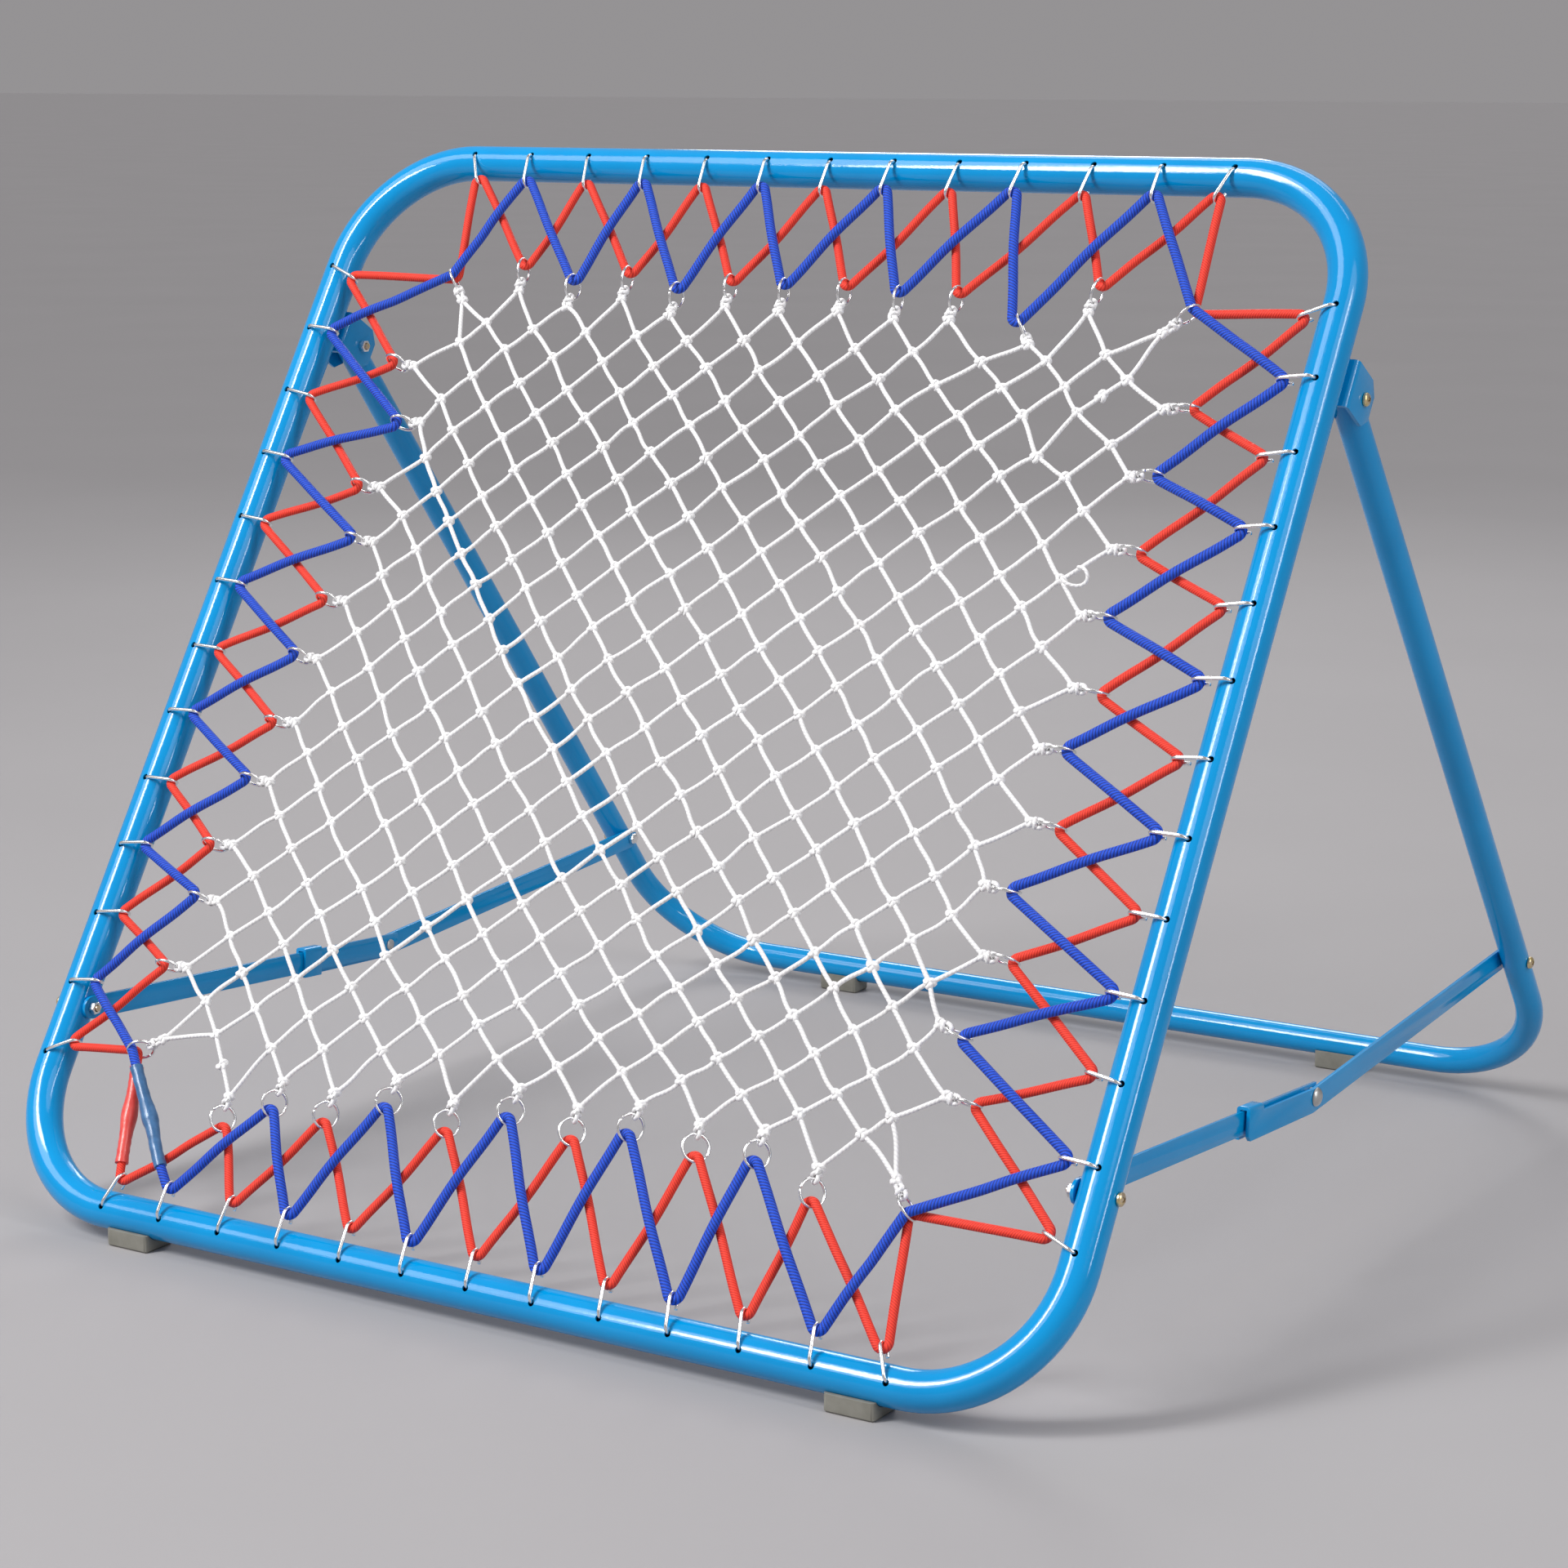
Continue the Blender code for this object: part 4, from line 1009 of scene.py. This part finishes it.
def add_link(strands, key):
    """Twine from an edge knot: two strands, round the ring's wire and a band to hold them."""
    out, normal, third = ring_axes(key)
    seat = Vector((*knot_seat(key), CORD_PLANE))
    wire = seat + out * (RING_GRIP - 2 * RING_RADIUS)
    knot = Vector((*KNOTS[key], CORD_PLANE))
    neck = knot.lerp(wire, 0.45)
    near_knot = 0.0016
    apart = 0.0021
    grip = RING_WIRE + TWINE
    path = [knot - normal * near_knot, neck - normal * apart, wire - normal * grip - out * 0.0025]
    path += [wire + (-normal * cos(a) + out * sin(a)) * grip for a in np.linspace(0, pi, 9)]
    path += [wire + normal * grip - out * 0.0025, neck + normal * apart, knot + normal * near_knot]
    strands.add(path, TWINE, 8)
    band = wire - out * 0.0034
    strands.add([band + normal * 0.0036 * cos(a) + third * 0.0030 * sin(a) + out * 0.0008 * sin(2 * a)
                 for a in np.linspace(0, 2 * pi, 14, endpoint=False)], TWINE * 0.95, 8, True)


def add_knot(strands, place, size, turn):
    """Tight knot: twine wound three ways through itself."""
    path = []
    for t in np.linspace(0, 2 * pi, 26, endpoint=False):
        x = (sin(t) + 2 * sin(2 * t)) * KNOT_WIDE * size
        y = (cos(t) - 2 * cos(2 * t)) * KNOT_HIGH * size
        path.append(place + Vector((x * cos(turn) - y * sin(turn), x * sin(turn) + y * cos(turn),
                                    -sin(3 * t) * KNOT_DEEP * size)))
    strands.add(path, KNOT_TWINE, 8, True)


def make_net():
    knots = {}
    for key, place in KNOTS.items():
        pulled = Vector(PULLED_KNOTS.get(key, (0, 0)))
        loose = 0.0 if key in CORNERS else 0.0011
        shake = Vector((chance.gauss(0, loose), chance.gauss(0, loose)))
        if knot_is_tied(key):
            shake = Vector((0, 0))
        knots[key] = (place + pulled + shake).to_3d()
        knots[key].z = CORD_PLANE + chance.gauss(0, 0.0006)
    bars = [Strands(), Strands()]
    lumps = [Strands(), Strands()]
    for first, second, _ in net_bars():
        add_bar(bars[first[1] > SPACES], knots[first], knots[second])
    for key, place in knots.items():
        half = lumps[key[1] > SPACES]
        size = chance.uniform(0.92, 1.12)
        add_knot(half, place, size, chance.choice((0, pi)) + chance.gauss(0, 0.3))
    for first, second in MENDED_BARS:
        place = knots[first].lerp(knots[second], 0.5)
        add_knot(lumps[first[1] > SPACES], place, 1.15, 0.7)
    links = Strands()
    for key in edge_walk():
        add_link(links, key)
    add_loose_end(links)
    upper, lower = bars
    piece("net_bars_upper", upper.mesh("bars", PLANE), "frame", "white_twine", None, ("net",), 60)
    piece("net_bars_lower", lower.mesh("bars", PLANE), "frame", "white_twine", None, (), 60)
    piece("net_knots_upper", lumps[0].mesh("knots", PLANE), "frame", "white_twine", None, (), 60)
    piece("net_knots_lower", lumps[1].mesh("knots", PLANE), "frame", "white_twine", None, (), 60)
    piece("net_ring_loops", links.mesh("links", PLANE), "frame", "white_twine", None, (), 60)


def knot_is_tied(key):
    return key in CORNERS or min(key) < 0 or max(key) > LAST


def add_bar(strands, start, end):
    """Twine between two knots, a little wavy."""
    span = end - start
    side = Vector((-span.y, span.x, 0)).normalized()
    bend = chance.gauss(0, 0.0007)
    wave = chance.gauss(0, 0.0004)
    dip = chance.gauss(0, 0.0005)
    path = []
    for step in range(9):
        share = step / 8
        offset = bend * sin(pi * share) + wave * sin(2 * pi * share)
        path.append(start + span * share + side * offset + Vector((0, 0, dip * sin(pi * share))))
    strands.add(path, TWINE * chance.uniform(0.96, 1.05), 10)


def add_loose_end(strands):
    x, y = LOOSE_END
    path = []
    for step in range(15):
        angle = radians(200 + 250 * step / 14)
        path.append((x + 0.011 * cos(angle), y + 0.008 * sin(angle),
                     CORD_PLANE + 0.003 + 0.002 * sin(angle * 2)))
    strands.add(*with_round_ends(path, TWINE * 0.8), 8)


def make_cords():
    for colour, path in cord_paths().items():
        radius = CORDS[colour]
        strands = Strands()
        strands.add(path, radius, 14)
        name = f"{colour}_elastic_cord"
        piece(name + "_shown", strands.mesh("cord", PLANE), "frame", f"{colour}_cord", None,
              (name,), 60)
        make_sleeve(colour, path, radius)


def make_sleeve(colour, path, radius):
    """Film sleeve over the cord's joint: thicker where its ends meet, a little wide at its mouths."""
    distance = np.linalg.norm(path - path[0], axis=1)
    near = distance < SLEEVE_LENGTHS[colour] / 2
    count = len(path)
    tail = [i for i in range(count // 2, count) if near[i]]
    head = [i for i in range(1, count // 2) if near[i]]
    points = [path[i] for i in tail + [0] + head]
    spaces = [-distance[i] for i in tail] + [0.0] + [distance[i] for i in head]
    bulge = [SLEEVE + SLEEVE_LUMP * np.exp(-(s / LUMP_REACH) ** 2) + 0.0002 * sin(s * 900)
             for s in spaces]
    bulge[0] += SLEEVE_FLARES[colour]
    bulge[-1] += SLEEVE_FLARES[colour]
    first = points[0] + (points[0] - points[1]) * 0.05
    last = points[-1] + (points[-1] - points[-2]) * 0.05
    radii = [radius + 0.0001] + bulge + [radius + 0.0001]
    strands = Strands()
    strands.add([first] + points + [last], radii, 20)
    name = f"{colour}_cord_sleeve"
    piece(name + "_shown", strands.mesh("sleeve", PLANE), "frame", f"{colour}_sleeve", None,
          (name,), 60)


# ---------------------------------------------------------------- stage

def make_floor():
    bpy.ops.mesh.primitive_grid_add(x_subdivisions=8, y_subdivisions=8, size=160)
    floor = bpy.context.object
    floor.name = "studio_floor"
    finish = Finish("pale_floor", (0.37, 0.36, 0.365), 0.7, Specular_IOR_Level=0.1)
    finish.colour(finish.ramp(finish.noise(1.5, 4), ((0.3, (0.364, 0.353, 0.360)),
                                                     (0.7, (0.376, 0.365, 0.372)))))
    floor.data.materials.append(finish.material)


def add_light(name, place, aim, size, power, colour=(1, 1, 1)):
    data = bpy.data.lights.new(name, "AREA")
    data.shape = "RECTANGLE"
    data.size, data.size_y = size
    data.energy = power
    data.color = colour
    light = bpy.data.objects.new(name, data)
    light.location = place
    light.rotation_euler = (Vector(aim) - Vector(place)).to_track_quat("-Z", "Y").to_euler()
    bpy.context.scene.collection.objects.link(light)


def make_studio():
    world = bpy.data.worlds.new("studio")
    bpy.context.scene.world = world
    world.use_nodes = True
    background = world.node_tree.nodes["Background"]
    background.inputs["Color"].default_value = (0.300, 0.290, 0.297, 1)
    background.inputs["Strength"].default_value = 1.0
    bpy.context.scene.view_settings.view_transform = "Standard"
    add_light("key_box", (-1.42, -2.5, 2.95), (0, -0.2, 0.45), (0.6, 1.8), 88)
    add_light("side_strip", (3.2, -0.6, 1.9), (0, 0, 0.45), (0.3, 2.4), 26)
    add_light("top_strip", (0.0, 1.6, 3.4), (0, 0, 0.3), (3.0, 0.4), 10)
    add_light("back_box", (-1.8, 3.4, 2.6), (0, 0, 0.4), (1.4, 1.2), 30)
    add_sun("front_sky", (-0.45, -0.62, 0.75), 1.15)
    add_sun("right_sky", (0.85, -0.25, 0.8), 0.45)
    add_sun("rear_sky", (-0.3, 0.8, 0.7), 0.30)


def add_sun(name, place, power):
    """Very soft light from a far side of the studio, even over the whole floor."""
    data = bpy.data.lights.new(name, "SUN")
    data.energy = power
    data.angle = radians(35)
    light = bpy.data.objects.new(name, data)
    light.location = place
    light.rotation_euler = Vector(place).to_track_quat("Z", "Y").to_euler()
    bpy.context.scene.collection.objects.link(light)


def make_camera():
    data = bpy.data.cameras.new("view")
    data.lens = CAMERA_LENS
    data.sensor_width = 36
    data.clip_end = 400
    camera = bpy.data.objects.new("view", data)
    camera.location = CAMERA_PLACE
    way = Vector(CAMERA_AIM) - Vector(CAMERA_PLACE)
    camera.rotation_euler = way.to_track_quat("-Z", "Y").to_euler()
    bpy.context.scene.collection.objects.link(camera)
    bpy.context.scene.camera = camera


def make_steelwork():
    make_front_tube()
    make_rear_tube()
    for word, side in SIDES.items():
        make_bracket(word, side)
        softened(f"brace_front_bar_{word}", 0.0004, "blue_paint")
        softened(f"brace_rear_bar_{word}", 0.0004, "blue_paint", fold=CLIP_FOLD)
        softened(f"brace_spacer_{word}", 0.0002, "zinc", "dull_zinc")
        make_rivet(f"brace_rivet_{word}", side)
        for bolt in ("hinge_bolt", "brace_front_bolt", "brace_rear_bolt"):
            make_bolt(f"{bolt}_{word}", side)
        for nut in ("hinge_nut", "brace_front_nut", "brace_rear_nut"):
            softened(f"{nut}_{word}", 0.0005, "zinc")
        for foot in ("front_foot", "rear_foot"):
            softened(f"{foot}_{word}", 0.0008, "grey_plastic", None, 3)


make_camera()
make_studio()
make_floor()
make_steelwork()
for side_name in OUTWARD:
    for hook_number in range(1, SPACES + 2):
        make_hook(side_name, hook_number)
for edge_knot in edge_walk():
    make_ring(edge_knot)
make_net()
make_cords()
